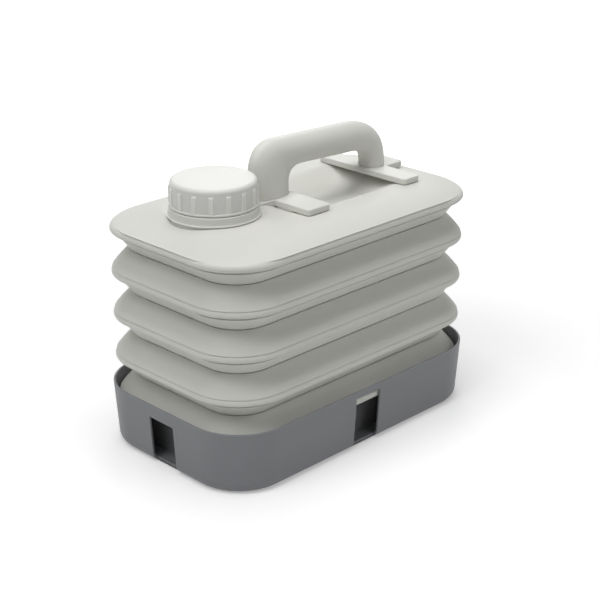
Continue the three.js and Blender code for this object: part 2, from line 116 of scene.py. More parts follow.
@dataclass(frozen=True)
class Plan:
    """A rounded rectangle seen from above."""

    half_length: float
    half_width: float
    corner_radius: float

    def drawn_in(self, inset: float, soft_share: float = 0.0) -> "Plan":
        """Draws the plan in on all sides.

        Args:
            inset: how far.
            soft_share: the least corner radius, as a share of the half width.

        Returns:
            The smaller plan.
        """
        half_width = self.half_width - inset
        radius = max(self.corner_radius - inset, soft_share * half_width)
        return Plan(self.half_length - inset, half_width, radius)

    def ring(self, height: float, steps: RingSteps) -> np.ndarray:
        """Gives the plan's outline at one height.

        Args:
            height: the ring's height.
            steps: the ring's steps, which give the same count at every size.

        Returns:
            Points, counter-clockwise, one row each.
        """
        arcs = []
        for corner, (sign_x, sign_y) in enumerate([(1, 1), (-1, 1), (-1, -1), (1, -1)]):
            centre = np.array([
                sign_x * (self.half_length - self.corner_radius),
                sign_y * (self.half_width - self.corner_radius),
            ])
            turns = (corner + np.linspace(0, 1, steps.corner + 1)) * math.pi / 2
            arms = np.stack([np.cos(turns), np.sin(turns)], axis=1)
            arcs.append(centre + self.corner_radius * arms)
        points = []
        for corner, arc in enumerate(arcs):
            points.extend(arc)
            following = arcs[(corner + 1) % len(arcs)][0]
            runs = steps.long if corner % 2 == 0 else steps.short
            for step in range(1, runs):
                points.append(arc[-1] + (following - arc[-1]) * step / runs)
        return lifted(np.array(points), height)


def lifted(flat: Sequence[Sequence[float]], height: float) -> np.ndarray:
    """Sets a flat outline at a height."""
    return np.column_stack([flat, np.full(len(flat), height)])


def circle(centre_x: float, radius: float, sides: int) -> np.ndarray:
    """Gives the points of a circle, seen from above."""
    angles = np.linspace(0, 2 * math.pi, sides, endpoint=False)
    return np.column_stack([centre_x + radius * np.cos(angles), radius * np.sin(angles)])


def smooth(share: np.ndarray) -> np.ndarray:
    """Eases a share of 0 to 1 at both ends."""
    eased = np.clip(share, 0, 1)
    return eased * eased * (3 - 2 * eased)


def crowned(start: tuple[float, float], end: tuple[float, float], crown: float, steps: int) -> np.ndarray:
    """Runs from one point to another, swelling to the right-hand side.

    Args:
        start: the first point, outward and up.
        end: the last point.
        crown: how far the middle swells.
        steps: how many steps the run has.

    Returns:
        The points of the run.
    """
    first, last = np.array(start, float), np.array(end, float)
    along = last - first
    side = np.array([along[1], -along[0]]) / np.linalg.norm(along)
    share = np.linspace(0, 1, steps + 1)[:, None]
    return first + along * share + side * 4 * crown * share * (1 - share)


def quarter(centre: tuple[float, float], radius: float, first_quarter: int, steps: int) -> np.ndarray:
    """Gives a quarter of a circle."""
    turns = (first_quarter + np.linspace(0, 1, steps + 1)) * math.pi / 2
    return np.array(centre) + radius * np.stack([np.cos(turns), np.sin(turns)], axis=1)


def bent(start: np.ndarray, middle: np.ndarray, end: np.ndarray, steps: int) -> np.ndarray:
    """Bends from one point to another towards a third."""
    share = np.linspace(0, 1, steps + 1)[:, None]
    return start * (1 - share) ** 2 + middle * 2 * share * (1 - share) + end * share**2


def section_rings(plan: Plan, section: Iterable[Sequence[float]], steps: RingSteps) -> list[np.ndarray]:
    """Carries a section round a plan."""
    return [plan.drawn_in(-outward).ring(height, steps) for outward, height in section]


def rounded_polygon(corners: np.ndarray, radii: Sequence[float], inset: float, steps: int) -> np.ndarray:
    """Rounds a polygon's corners and draws it in.

    Args:
        corners: the polygon's corners, counter-clockwise.
        radii: the radius at each corner, before it is drawn in.
        inset: how far it is drawn in.
        steps: the steps of each corner.

    Returns:
        The outline, with the same count at every inset.
    """
    points = []
    for place, corner in enumerate(corners):
        incoming = corner - corners[place - 1]
        outgoing = corners[(place + 1) % len(corners)] - corner
        incoming = incoming / np.linalg.norm(incoming)
        outgoing = outgoing / np.linalg.norm(outgoing)
        inward_a = np.array([-incoming[1], incoming[0]])
        inward_b = np.array([-outgoing[1], outgoing[0]])
        hand = 1 if incoming[0] * outgoing[1] > incoming[1] * outgoing[0] else -1
        moved = corner + inset * (inward_a + inward_b) / (1 + inward_a @ inward_b)
        radius = radii[place] - hand * inset
        turn = math.acos(np.clip(incoming @ outgoing, -1, 1))
        first = moved - incoming * radius * math.tan(turn / 2)
        centre = first + hand * radius * inward_a
        arm = first - centre
        for share in np.linspace(0, 1, steps + 1):
            angle = hand * turn * share
            cosine, sine = math.cos(angle), math.sin(angle)
            points.append(centre + [arm[0] * cosine - arm[1] * sine, arm[0] * sine + arm[1] * cosine])
    return np.array(points)


def placed(name: str, data: bpy.types.ID) -> bpy.types.Object:
    """Puts a new object with its data into the scene."""
    made = bpy.data.objects.new(name, data)
    bpy.context.scene.collection.objects.link(made)
    return made


def discard(piece: bpy.types.Object) -> None:
    """Takes a piece and its mesh out of the file."""
    mesh = piece.data
    bpy.data.objects.remove(piece)
    bpy.data.meshes.remove(mesh)


def in_metres(sizes: object, labels: Iterable[str]) -> dict[str, float]:
    """Gives some of a class's sizes under the labels of a tree's inputs."""
    return {label: getattr(sizes, label.lower().replace(" ", "_")) * MM for label in labels}


def new_piece(name: str, vertices: np.ndarray, faces: Iterable[Sequence[int]]) -> bpy.types.Object:
    """Makes an object from points in millimetres.

    Args:
        name: the object's name.
        vertices: its points, one row each.
        faces: the point numbers of each face.

    Returns:
        The object, with its doubles merged and its faces turned outwards.
    """
    mesh = bpy.data.meshes.new(name)
    mesh.from_pydata((np.asarray(vertices) * MM).tolist(), [], [list(face) for face in faces])
    piece = placed(name, mesh)
    tidy_mesh(piece)
    return piece


def tidy_mesh(piece: bpy.types.Object) -> None:
    """Merges a mesh's doubles and turns its faces outwards.

    Args:
        piece: the object whose mesh is tidied.
    """
    work = bmesh.new()
    work.from_mesh(piece.data)
    bmesh.ops.remove_doubles(work, verts=work.verts, dist=DOUBLES * MM)
    bmesh.ops.dissolve_degenerate(work, dist=DOUBLES * MM / 2, edges=work.edges)
    bmesh.ops.recalc_face_normals(work, faces=work.faces)
    work.to_mesh(piece.data)
    work.free()
    piece.data.update()


def skinned(name: str, rings: Sequence[np.ndarray], closed: bool = False) -> bpy.types.Object:
    """Lays a skin over rings of equal count.

    Args:
        name: the object's name.
        rings: the rings, from the first to the last.
        closed: whether the last ring joins the first; otherwise each end gets a flat cap.

    Returns:
        The skinned object.
    """
    count = len(rings[0])
    faces: list[list[int]] = []
    joins = len(rings) if closed else len(rings) - 1
    for row in range(joins):
        lower, upper = row * count, (row + 1) % len(rings) * count
        for place in range(count):
            following = (place + 1) % count
            faces.append([lower + place, lower + following, upper + following, upper + place])
    if not closed:
        last = (len(rings) - 1) * count
        faces.append(list(range(count))[::-1])
        faces.append([last + place for place in range(count)])
    return new_piece(name, np.concatenate(rings), faces)


def turned(name: str, outline: Sequence[Sequence[float]], centre_x: float,
           sides: int = TURN_STEPS) -> bpy.types.Object:
    """Turns a closed outline round an upright axis."""
    rings = [lifted(circle(centre_x, radius, sides), height) for radius, height in outline]
    return skinned(name, rings, closed=True)


def block(name: str, along: Sequence[float], across: Sequence[float],
          up: Sequence[float]) -> bpy.types.Object:
    """Makes a plain block to cut with.

    Args:
        name: the object's name.
        along: its least and greatest X.
        across: its least and greatest Y.
        up: its least and greatest Z.

    Returns:
        The block.
    """
    (left, right), (near, far) = along, across
    outline = [[left, near], [right, near], [right, far], [left, far]]
    return skinned(name, [lifted(outline, height) for height in up])


def post(name: str, centre_x: float, radius: float, up: Sequence[float],
         sides: int = 96) -> bpy.types.Object:
    """Makes an upright cylinder to cut with."""
    return skinned(name, [lifted(circle(centre_x, radius, sides), height) for height in up])


def slab(name: str, corners: Sequence[Sequence[float]], radii: Sequence[float], up: Sequence[float],
         edge: float, inset: float = 0.0) -> bpy.types.Object:
    """Makes a flat bar with rounded corners in plan and round edges.

    Args:
        name: the object's name.
        corners: the corners of its plan, counter-clockwise.
        radii: the radius at each corner.
        up: its least and greatest Z.
        edge: the radius of its edges.
        inset: how far the whole plan is drawn in.

    Returns:
        The bar.
    """
    section = [
        *quarter((-edge, up[0] + edge), edge, 3, EDGE_STEPS),
        *quarter((-edge, up[1] - edge), edge, 0, EDGE_STEPS),
    ]
    plan = np.array(corners, float)
    return skinned(name, [
        lifted(rounded_polygon(plan, radii, inset - outward, CORNER_STEPS), height)
        for outward, height in section
    ])


# Modifiers and node trees


def settled(piece: bpy.types.Object) -> None:
    """Applies a piece's modifiers, so that it is a plain mesh."""
    graph = bpy.context.evaluated_depsgraph_get()
    mesh = bpy.data.meshes.new_from_object(piece.evaluated_get(graph))
    piece.modifiers.clear()
    spare = piece.data
    piece.data = mesh
    bpy.data.meshes.remove(spare)
    mesh.name = piece.name


def worked(piece: bpy.types.Object, tools: Iterable[bpy.types.Object], cut: Cut) -> None:
    """Cuts solids from a piece or joins them to it.

    Args:
        piece: the piece that is worked on.
        tools: the solids, which are used up.
        cut: whether they go away or on.
    """
    for tool in tools:
        modifier = piece.modifiers.new("Work", "BOOLEAN")
        modifier.operation = cut.value
        modifier.solver = "EXACT"
        modifier.object = tool
        settled(piece)
        discard(tool)
    tidy_mesh(piece)


def softened(piece: bpy.types.Object, width: float, degrees: float, segments: int = 2) -> None:
    """Rounds a piece's sharp edges.

    Args:
        piece: the piece.
        width: the width of the rounding.
        degrees: the least angle that counts as sharp.
        segments: the steps of the rounding.
    """
    modifier = piece.modifiers.new("Soften", "BEVEL")
    modifier.limit_method = "ANGLE"
    modifier.angle_limit = math.radians(degrees)
    modifier.width = width * MM
    modifier.segments = segments
    modifier.use_clamp_overlap = True
    settled(piece)


def shaded(piece: bpy.types.Object, degrees: float, weighted: bool = False) -> None:
    """Shades a piece smooth, apart from its sharp edges.

    Args:
        piece: the piece.
        degrees: the least angle of an edge that stays sharp.
        weighted: whether large flat faces rule the shading round their edges.
    """
    piece.data.shade_smooth()
    piece.data.set_sharp_from_angle(angle=math.radians(degrees))
    if weighted:
        modifier = piece.modifiers.new("Weigh", "WEIGHTED_NORMAL")
        modifier.keep_sharp = True
        settled(piece)


FLOAT, WHOLE, VECTOR = "NodeSocketFloat", "NodeSocketInt", "NodeSocketVector"
GEOMETRY, MATERIAL, OBJECT = "NodeSocketGeometry", "NodeSocketMaterial", "NodeSocketObject"
COLOUR = "NodeSocketColor"
GEOMETRY_TREE = "GeometryNodeTree"


class Tree:
    """The nodes of one tree, added and joined by short calls."""

    def __init__(self, tree: bpy.types.NodeTree) -> None:
        """Takes the tree that the nodes go into."""
        self.tree = tree
        self.entry: bpy.types.Node | None = None

    @classmethod
    def group(cls, name: str, kind: str) -> "Tree":
        """Starts a node group.

        Args:
            name: the group's name.
            kind: GeometryNodeTree or ShaderNodeTree.

        Returns:
            The empty group.
        """
        made = cls(bpy.data.node_groups.new(name, kind))
        made.entry = made.tree.nodes.new("NodeGroupInput")
        return made

    @classmethod
    def maker(cls, name: str) -> "Tree":
        """Starts a geometry tree that a modifier runs."""
        made = cls.group(name, GEOMETRY_TREE)
        made.tree.is_modifier = True
        return made

    @classmethod
    def of(cls, owner: bpy.types.ID) -> "Tree":
        """Starts the tree of a material or a world, without its first nodes."""
        owner.use_nodes = True
        owner.node_tree.nodes.clear()
        return cls(owner.node_tree)

    def take(self, name: str, kind: str, value: object = None) -> bpy.types.NodeSocket:
        """Adds an input to the group.

        Args:
            name: the input's name.
            kind: the type of its socket.
            value: what it holds until something feeds it.

        Returns:
            The socket that gives it inside the group.
        """
        item = self.tree.interface.new_socket(name=name, in_out="INPUT", socket_type=kind)
        if value is not None:
            item.default_value = value
        return self.entry.outputs[name]

    def take_sizes(self, names: Iterable[str]) -> tuple[dict, dict]:
        """Adds an input for each size, and gives their sockets and the negatives of these."""
        size = {name: self.take(name, FLOAT) for name in names}
        return size, {name: self.times(socket, -1.0) for name, socket in size.items()}

    def give(self, results: Mapping[str, tuple[str, bpy.types.NodeSocket]]) -> None:
        """Ends the group with its outputs.

        Args:
            results: for each output, the type of its socket and what feeds it.
        """
        leaving = self.tree.nodes.new("NodeGroupOutput")
        for name, (kind, source) in results.items():
            self.tree.interface.new_socket(name=name, in_out="OUTPUT", socket_type=kind)
            self.tree.links.new(source, leaving.inputs[name])

    def give_mesh(self, geometry: bpy.types.NodeSocket, material: bpy.types.NodeSocket) -> None:
        """Ends the group with one plain mesh in its material.

        Args:
            geometry: what feeds the mesh.
            material: the socket that holds the material.
        """
        plain = self.add("GeometryNodeRealizeInstances", {"Geometry": geometry})
        dressed = self.add("GeometryNodeSetMaterial", {"Geometry": plain.outputs[0], "Material": material})
        self.give({"Mesh": (GEOMETRY, dressed.outputs[0])})

    def feed(self, node: bpy.types.Node, inputs: Mapping[str | int, object]) -> bpy.types.Node:
        """Fills a node's inputs.

        Args:
            node: the node.
            inputs: for each input, a value or the socket that feeds it.

        Returns:
            The same node.
        """
        for name, value in inputs.items():
            if isinstance(value, bpy.types.NodeSocket):
                self.tree.links.new(value, node.inputs[name])
            else:
                node.inputs[name].default_value = value
        return node

    def add(self, kind: str, inputs: Mapping[str | int, object] | None = None,
            **settings: object) -> bpy.types.Node:
        """Adds a node.

        Args:
            kind: the node's type.
            inputs: for each input, a value or the socket that feeds it.
            **settings: the node's own properties.

        Returns:
            The node.
        """
        node = self.tree.nodes.new(kind)
        for name, value in settings.items():
            setattr(node, name, value)
        return self.feed(node, inputs or {})

    def math(self, operation: str, first: object, second: object) -> bpy.types.NodeSocket:
        """Works out one number from two, and gives its socket."""
        return self.add("ShaderNodeMath", {0: first, 1: second}, operation=operation).outputs[0]

    def plus(self, first: object, second: object) -> bpy.types.NodeSocket:
        """Adds two numbers."""
        return self.math("ADD", first, second)

    def less(self, first: object, second: object) -> bpy.types.NodeSocket:
        """Takes the second number from the first."""
        return self.math("SUBTRACT", first, second)

    def times(self, first: object, second: object) -> bpy.types.NodeSocket:
        """Multiplies two numbers."""
        return self.math("MULTIPLY", first, second)

    def vector(self, operation: str, first: object, second: object) -> bpy.types.NodeSocket:
        """Works out one vector from two, and gives its socket."""
        return self.add("ShaderNodeVectorMath", {0: first, 1: second}, operation=operation).outputs[0]

    def scaled(self, first: object, scale: object) -> bpy.types.NodeSocket:
        """Multiplies a vector or a colour by a number."""
        node = self.add("ShaderNodeVectorMath", {0: first, "Scale": scale}, operation="SCALE")
        return node.outputs[0]

    def mapped(self, value: bpy.types.NodeSocket, source: tuple[float, float],
               target: tuple[float, float], smooth: bool = False) -> bpy.types.NodeSocket:
        """Maps one range of numbers to another, within its ends.

        Args:
            value: the number.
            source: the ends of its range.
            target: what the ends become.
            smooth: whether the change is eased at both ends.

        Returns:
            The socket of the result.
        """
        kind = "SMOOTHSTEP" if smooth else "LINEAR"
        return self.add("ShaderNodeMapRange", {
            "Value": value,
            "From Min": source[0],
            "From Max": source[1],
            "To Min": target[0],
            "To Max": target[1],
        }, interpolation_type=kind).outputs[0]

    def point(self, x: object, y: object) -> bpy.types.NodeSocket:
        """Gives a point of a section from its two numbers."""
        return self.add("ShaderNodeCombineXYZ", {"X": x, "Y": y}).outputs[0]

    def bumped(self, height: object, depth: object,
               under: bpy.types.NodeSocket | None = None) -> bpy.types.NodeSocket:
        """Gives the normals of a relief.

        Args:
            height: the relief, as a share of its depth.
            depth: its depth.
            under: the normals of a larger relief under it, if any.

        Returns:
            The socket of the normals.
        """
        lower = {} if under is None else {"Normal": under}
        values = {"Strength": 1.0, "Distance": depth, "Height": height, **lower}
        return self.add("ShaderNodeBump", values).outputs[0]

    def joined(self, *parts: bpy.types.NodeSocket) -> bpy.types.NodeSocket:
        """Joins geometry into one."""
        node = self.add("GeometryNodeJoinGeometry")
        for part in parts:
            self.tree.links.new(part, node.inputs[0])
        return node.outputs[0]

    def copies(self, points: bpy.types.NodeSocket, shape: bpy.types.NodeSocket,
               others: Mapping[str, object]) -> bpy.types.NodeSocket:
        """Places copies of an object on points.

        Args:
            points: the points.
            shape: the socket that holds the object.
            others: what else the copies follow, such as a rotation.

        Returns:
            The socket of the copies.
        """
        info = self.add("GeometryNodeObjectInfo", {"Object": shape}, transform_space="ORIGINAL")
        values = {"Points": points, "Instance": info.outputs["Geometry"], **others}
        return self.add("GeometryNodeInstanceOnPoints", values).outputs[0]

    def spot(self) -> bpy.types.NodeSocket:
        """Gives the place on the object that a texture reads."""
        return self.add("ShaderNodeTexCoord").outputs["Object"]

    def use(self, group: "Tree", inputs: Mapping[str | int, object]) -> bpy.types.Node:
        """Places another group in this tree."""
        kind = "GeometryNodeGroup" if self.tree.bl_idname == GEOMETRY_TREE else "ShaderNodeGroup"
        return self.add(kind, inputs, node_tree=group.tree)

    def run(self, name: str, values: Mapping[str, object],
            base: bpy.types.Object | None = None) -> bpy.types.Object:
        """Runs a geometry tree once and keeps its result as a plain mesh.

        Args:
            name: the name of the object that it makes.
            values: the value of each named input.
            base: the object that the tree works on, if any.

        Returns:
            The object.
        """
        piece = base
        if piece is None:
            piece = placed(name, bpy.data.meshes.new(name))
        modifier = piece.modifiers.new(name, "NODES")
        modifier.node_group = self.tree
        for item in self.tree.interface.items_tree:
            if item.item_type == "SOCKET" and item.in_out == "INPUT" and item.name in values:
                modifier[item.identifier] = values[item.name]
        settled(piece)
        return piece


def crowned_line_group() -> Tree:
    """Builds the group that runs from one point to another with a swelling middle."""
    tree = Tree.group("Crowned line", GEOMETRY_TREE)
    start = tree.take("From", VECTOR)
    end = tree.take("To", VECTOR)
    crown = tree.take("Crown", FLOAT, 0.0)
    steps = tree.take("Steps", WHOLE, 8)
    along = tree.add("ShaderNodeSeparateXYZ", {0: tree.vector("SUBTRACT", end, start)})
    square = tree.point(along.outputs["Y"], tree.times(along.outputs["X"], -1.0))
    side = tree.add("ShaderNodeVectorMath", {0: square}, operation="NORMALIZE").outputs[0]
    swell = tree.scaled(side, tree.times(crown, 2.0))
    half = tree.scaled(tree.vector("ADD", start, end), 0.5)
    line = tree.add("GeometryNodeCurveQuadraticBezier", {
        "Resolution": steps,
        "Start": start,
        "Middle": tree.vector("ADD", half, swell),
        "End": end,
    })
    tree.give({"Curve": (GEOMETRY, line.outputs[0])})
    return tree


def round_plan_group() -> Tree:
    """Builds the group that carries a section round a rounded rectangle."""
    tree = Tree.group("Round the plan", GEOMETRY_TREE)
    section = tree.take("Section", GEOMETRY)
    half_length = tree.take("Half Length", FLOAT)
    half_width = tree.take("Half Width", FLOAT)
    radius = tree.take("Corner Radius", FLOAT)
    steps = tree.take("Corner Steps", WHOLE, 20)
    height = tree.take("Height", FLOAT)
    material = tree.take("Material", MATERIAL)
    rectangle = tree.add("GeometryNodeCurvePrimitiveQuadrilateral", {
        "Width": tree.times(half_length, 2.0),
        "Height": tree.times(half_width, 2.0),
    }, mode="RECTANGLE")
    rounded = tree.add("GeometryNodeFilletCurve", {
        "Curve": rectangle.outputs[0],
        "Count": steps,
        "Radius": radius,
    }, mode="POLY")
    upright = tree.add("GeometryNodeSetCurveNormal", {"Curve": rounded.outputs[0]}, mode="Z_UP")
    flipped = tree.add("GeometryNodeTransform", {"Geometry": section, "Scale": (1.0, -1.0, 1.0)})
    swept = tree.add("GeometryNodeCurveToMesh", {
        "Curve": upright.outputs[0],
        "Profile Curve": flipped.outputs[0],
    })
    rise = tree.add("ShaderNodeCombineXYZ", {"Z": height}).outputs[0]
    raised = tree.add("GeometryNodeTransform", {"Geometry": swept.outputs[0], "Translation": rise})
    merged = tree.add("GeometryNodeMergeByDistance", {
        "Geometry": raised.outputs[0],
        "Distance": DOUBLES * MM,
    })
    tree.give_mesh(merged.outputs[0], material)
    return tree


# Finishes


NOISE_REACH = (0.25, 0.75)  # where nearly all of a noise texture's values lie
POINTED_REACH = (0.46, 0.56)  # from a hollow to an edge
FULL_SWING = (-1.0, 1.0)
SPECKS_PER_PATCH = 14.0
SPECK_SHARE = 0.3


def moulded_group() -> Tree:
    """Builds the group for moulded plastic: mottling, grain, soft waves, lighter worn edges and painted
    shade in hollows and creases.
    """
    tree = Tree.group("Moulded surface", "ShaderNodeTree")
    colour = tree.take("Colour", COLOUR, (0.8, 0.8, 0.8, 1.0))
    mottle = tree.take("Mottle", FLOAT, 0.02)
    mottle_scale = tree.take("Mottle Scale", FLOAT, 30.0)
    # How far convex edges lighten as wear and hollows and creases darken as painted shade.
    wear_and_hollow_shade = tree.take("Rubbed", FLOAT, 0.05)
    roughness = tree.take("Roughness", FLOAT, 0.5)
    spread = tree.take("Roughness Spread", FLOAT, 0.05)
    grain_scale = tree.take("Grain Scale", FLOAT, 1500.0)
    grain_depth = tree.take("Grain Depth", FLOAT, 0.00004)
    wave_scale = tree.take("Wave Scale", FLOAT, 25.0)
    wave_depth = tree.take("Wave Depth", FLOAT, 0.0002)
    place = tree.spot()

    def noise(scale: object, detail: float) -> bpy.types.NodeSocket:
        """Gives a noise from -1 to 1 on the surface."""
        texture = tree.add("ShaderNodeTexNoise", {"Vector": place, "Scale": scale, "Detail": detail})
        return tree.mapped(texture.outputs["Fac"], NOISE_REACH, FULL_SWING)

    patches = noise(mottle_scale, 4.0)
    specks = noise(tree.times(mottle_scale, SPECKS_PER_PATCH), 2.0)
    shade = tree.plus(tree.times(patches, 1 - SPECK_SHARE), tree.times(specks, SPECK_SHARE))
    # Pointiness lightens convex edges as wear and darkens hollows and creases as painted shade.
    pointed = tree.add("ShaderNodeNewGeometry").outputs["Pointiness"]
    edge = tree.mapped(pointed, POINTED_REACH, FULL_SWING)
    level = tree.plus(tree.times(shade, mottle), tree.times(edge, wear_and_hollow_shade))
    dull = tree.plus(roughness, tree.times(patches, spread))
    waves = tree.bumped(noise(wave_scale, 1.0), wave_depth)
    grain = tree.bumped(noise(grain_scale, 3.0), grain_depth, waves)
    tree.give({
        "Colour": (COLOUR, tree.scaled(colour, tree.plus(level, 1.0))),
        "Roughness": (FLOAT, dull),
        "Normal": (VECTOR, grain),
    })
    return tree


@dataclass(frozen=True)
class Finish:
    """A finish: a colour, a sheen and what lies on its surface."""

    colour: tuple[float, float, float]
    roughness: float

    def surface(self, tree: Tree, moulded: Tree) -> dict[str, object]:
        """Gives a value or a socket for each input of the shader that this finish sets."""
        raise NotImplementedError

    def material(self, name: str, moulded: Tree) -> bpy.types.Material:
        """Builds the material.

        Args:
            name: its name.
            moulded: the shared group for moulded surfaces.

        Returns:
            The material.
        """
        made = bpy.data.materials.new(name)
        tree = Tree.of(made)
        shader = tree.add("ShaderNodeBsdfPrincipled")
        tree.add("ShaderNodeOutputMaterial", {"Surface": shader.outputs[0]})
        tree.feed(shader, self.surface(tree, moulded))
        return made


@dataclass(frozen=True)
class Plastic(Finish):
    """A moulded plastic, with what its mould leaves on it."""

    spread: float = 0.05
    mottle: float = 0.02
    mottle_size: float = 30.0
    # How far edges lighten as wear and hollows and creases darken as painted shade.
    wear_and_hollow_shade: float = 0.04
    grain_size: float = 0.6
    grain_depth: float = 0.02
    wave_size: float = 40.0
    wave_depth: float = 0.1
    specular: float = 0.5

    def surface(self, tree: Tree, moulded: Tree) -> dict[str, object]:
        """Places the group for moulded surfaces with this plastic's values."""
        made = tree.use(moulded, {
            "Colour": (*self.colour, 1.0),
            "Mottle": self.mottle,
            "Mottle Scale": 1 / (self.mottle_size * MM),
            "Rubbed": self.wear_and_hollow_shade,
            "Roughness": self.roughness,
            "Roughness Spread": self.spread,
            "Grain Scale": 1 / (self.grain_size * MM),
            "Grain Depth": self.grain_depth * MM,
            "Wave Scale": 1 / (self.wave_size * MM),
            "Wave Depth": self.wave_depth * MM,
        }).outputs
        return {
            "Specular IOR Level": self.specular,
            "Base Color": made["Colour"],
            "Roughness": made["Roughness"],
            "Normal": made["Normal"],
        }


@dataclass(frozen=True)
class Foam(Finish):
    """A closed-cell foam sheet."""

    cell_size: float = 0.7
    cell_depth: float = 0.08

    def surface(self, tree: Tree, moulded: Tree) -> dict[str, object]:
        """Builds the cells."""
        scale = 1 / (self.cell_size * MM)
        cells = tree.add("ShaderNodeTexVoronoi", {"Vector": tree.spot(), "Scale": scale})
        skin = tree.mapped(cells.outputs["Distance"], (0.0, 0.8), (1.0, 0.9))
        return {
            "Base Color": tree.scaled(self.colour, skin),
            "Roughness": self.roughness,
            "Normal": tree.bumped(skin, self.cell_depth * MM),
        }


@dataclass(frozen=True)
class PlatedSteel(Finish):
    """Zinc-plated steel with fine turning marks."""

    spread: float = 0.1
    mark_scale: tuple[float, float, float] = (300.0, 300.0, 6000.0)

    def surface(self, tree: Tree, moulded: Tree) -> dict[str, object]:
        """Builds the marks."""
        drawn = tree.add("ShaderNodeMapping", {"Vector": tree.spot(), "Scale": self.mark_scale})
        noise = tree.add("ShaderNodeTexNoise", {"Vector": drawn.outputs[0], "Scale": 1.0, "Detail": 3.0})
        marks, reach = noise.outputs["Fac"], (0.3, 0.7)
        dull = (self.roughness - self.spread, self.roughness + self.spread)
        return {
            "Metallic": 1.0,
            "Base Color": tree.scaled(self.colour, tree.mapped(marks, reach, (0.9, 1.05))),
            "Roughness": tree.mapped(marks, reach, dull),
        }


# In each plastic the edge setting lightens worn edges and paints shade into hollows and creases.
FINISHES: dict[Slot, Finish] = {
    Slot.TANK: Plastic((0.69, 0.69, 0.645), 0.52, mottle=0.018, wear_and_hollow_shade=0.03, wave_depth=0.25,
                       grain_size=0.9, grain_depth=0.015),
    Slot.RIGID: Plastic((0.73, 0.73, 0.69), 0.46, mottle=0.012, wear_and_hollow_shade=0.03, grain_size=0.35),
    Slot.CAP: Plastic((0.74, 0.74, 0.71), 0.42, mottle=0.01, wear_and_hollow_shade=0.05, grain_size=0.3, grain_depth=0.012),
    Slot.TRAY: Plastic((0.222, 0.227, 0.24), 0.5, mottle=0.03, wear_and_hollow_shade=0.12, grain_size=0.5,
                       grain_depth=0.03),
    Slot.LINER: Foam((0.86, 0.86, 0.84), 0.85),
    Slot.STEEL: PlatedSteel((0.66, 0.67, 0.68), 0.35),
}


@dataclass
class SubAssembly:
    """A group of pieces that are built and dressed together."""

    materials: Mapping[Slot, bpy.types.Material]

    def build(self) -> None:
        """Builds the pieces."""
        raise NotImplementedError

    def dress(self, piece: bpy.types.Object, slot: Slot) -> None:
        """Gives a piece its finish."""
        piece.data.materials.clear()
        piece.data.materials.append(self.materials[slot])
        for face in piece.data.polygons:
            face.material_index = 0

    def seat(self, piece: bpy.types.Object, body: Body, slot: Slot, nodes: Sequence[str],
             degrees: float = 40.0, weighted: bool = False) -> None:
        """Shades and dresses a finished piece and lets it ride on its body.

        Args:
            piece: the piece.
            body: the body that carries it.
            slot: its finish.
            nodes: the solids that it stands for.
            degrees: the least angle of an edge that stays sharp.
            weighted: whether large flat faces rule the shading round their edges.
        """
        shaded(piece, degrees, weighted)
        self.dress(piece, slot)
        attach(piece, body.value)
        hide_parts(*nodes)
        log.info("%s: %d faces, rides on %s", piece.name, len(piece.data.polygons), body.value)


# The bellows


@dataclass(frozen=True)
class Heights:
    """Heights over the ground, from the tray upward."""

    seat: float = 37.7
    bead_lift: float = 2.6
    bead_drop: float = 6.8
    pitch: float = 38.35
    fold_count: int = 5
    shoulder_rise: float = 8.2
    plate: float = 5.7
    front_tab: float = 8.0
    ring: float = 6.8
    collar: float = 7.8
    cap_gap: float = 0.6
    cap: float = 22.0
    cap_top_wall: float = 2.2
    liner: float = 1.5

    @property
    def tank_bottom(self) -> float:
        """The underside of the tank."""
        return self.seat + CLEARANCE

    def crease(self, number: int) -> float:
        """The crease of a fold, where 1 is the shoulder's and 5 the lowest."""
        lowest = self.tank_bottom + self.bead_lift + self.bead_drop
        return lowest + (self.fold_count - number) * self.pitch

    @property
    def shoulder_top(self) -> float:
        """The flat part of the tank's top."""
        return self.crease(1) + self.shoulder_rise

    @property
    def plate_bottom(self) -> float:
        """The underside of the brackets' plates."""
        return self.shoulder_top + CLEARANCE

    @property
    def plate_top(self) -> float:
        """The top of the brackets."""
        return self.plate_bottom + self.plate

    @property
    def ring_bottom(self) -> float:
        """The underside of the front bracket's ring and tab."""
        return self.plate_top - self.front_tab

    @property
    def ring_seat(self) -> float:
        """What the ring rests on."""
        return self.ring_bottom - CLEARANCE

    @property
    def collar_bottom(self) -> float:
        """The underside of the collar."""
        return self.ring_bottom + self.ring + CLEARANCE

    @property
    def collar_top(self) -> float:
        """The top of the collar."""
        return self.collar_bottom + self.collar

    @property
    def cap_bottom(self) -> float:
        """The lower edge of the cap."""
        return self.collar_top + self.cap_gap

    @property
    def cap_top(self) -> float:
        """The top of the cap."""
        return self.cap_bottom + self.cap

    @property
    def liner_top(self) -> float:
        """The top of the liner."""
        return self.cap_top - self.cap_top_wall - CLEARANCE

    @property
    def neck_top(self) -> float:
        """The rim of the neck."""
        return self.liner_top - self.liner - CLEARANCE


HEIGHTS = Heights()
FOLD_PLAN = Plan(153.5, 92.0, 49.5)
NECK_X = -90.0
NECK_RADIUS = 30.6
COLLAR_RADIUS = 39.4
TAB_HALF_WIDTH = 12.5


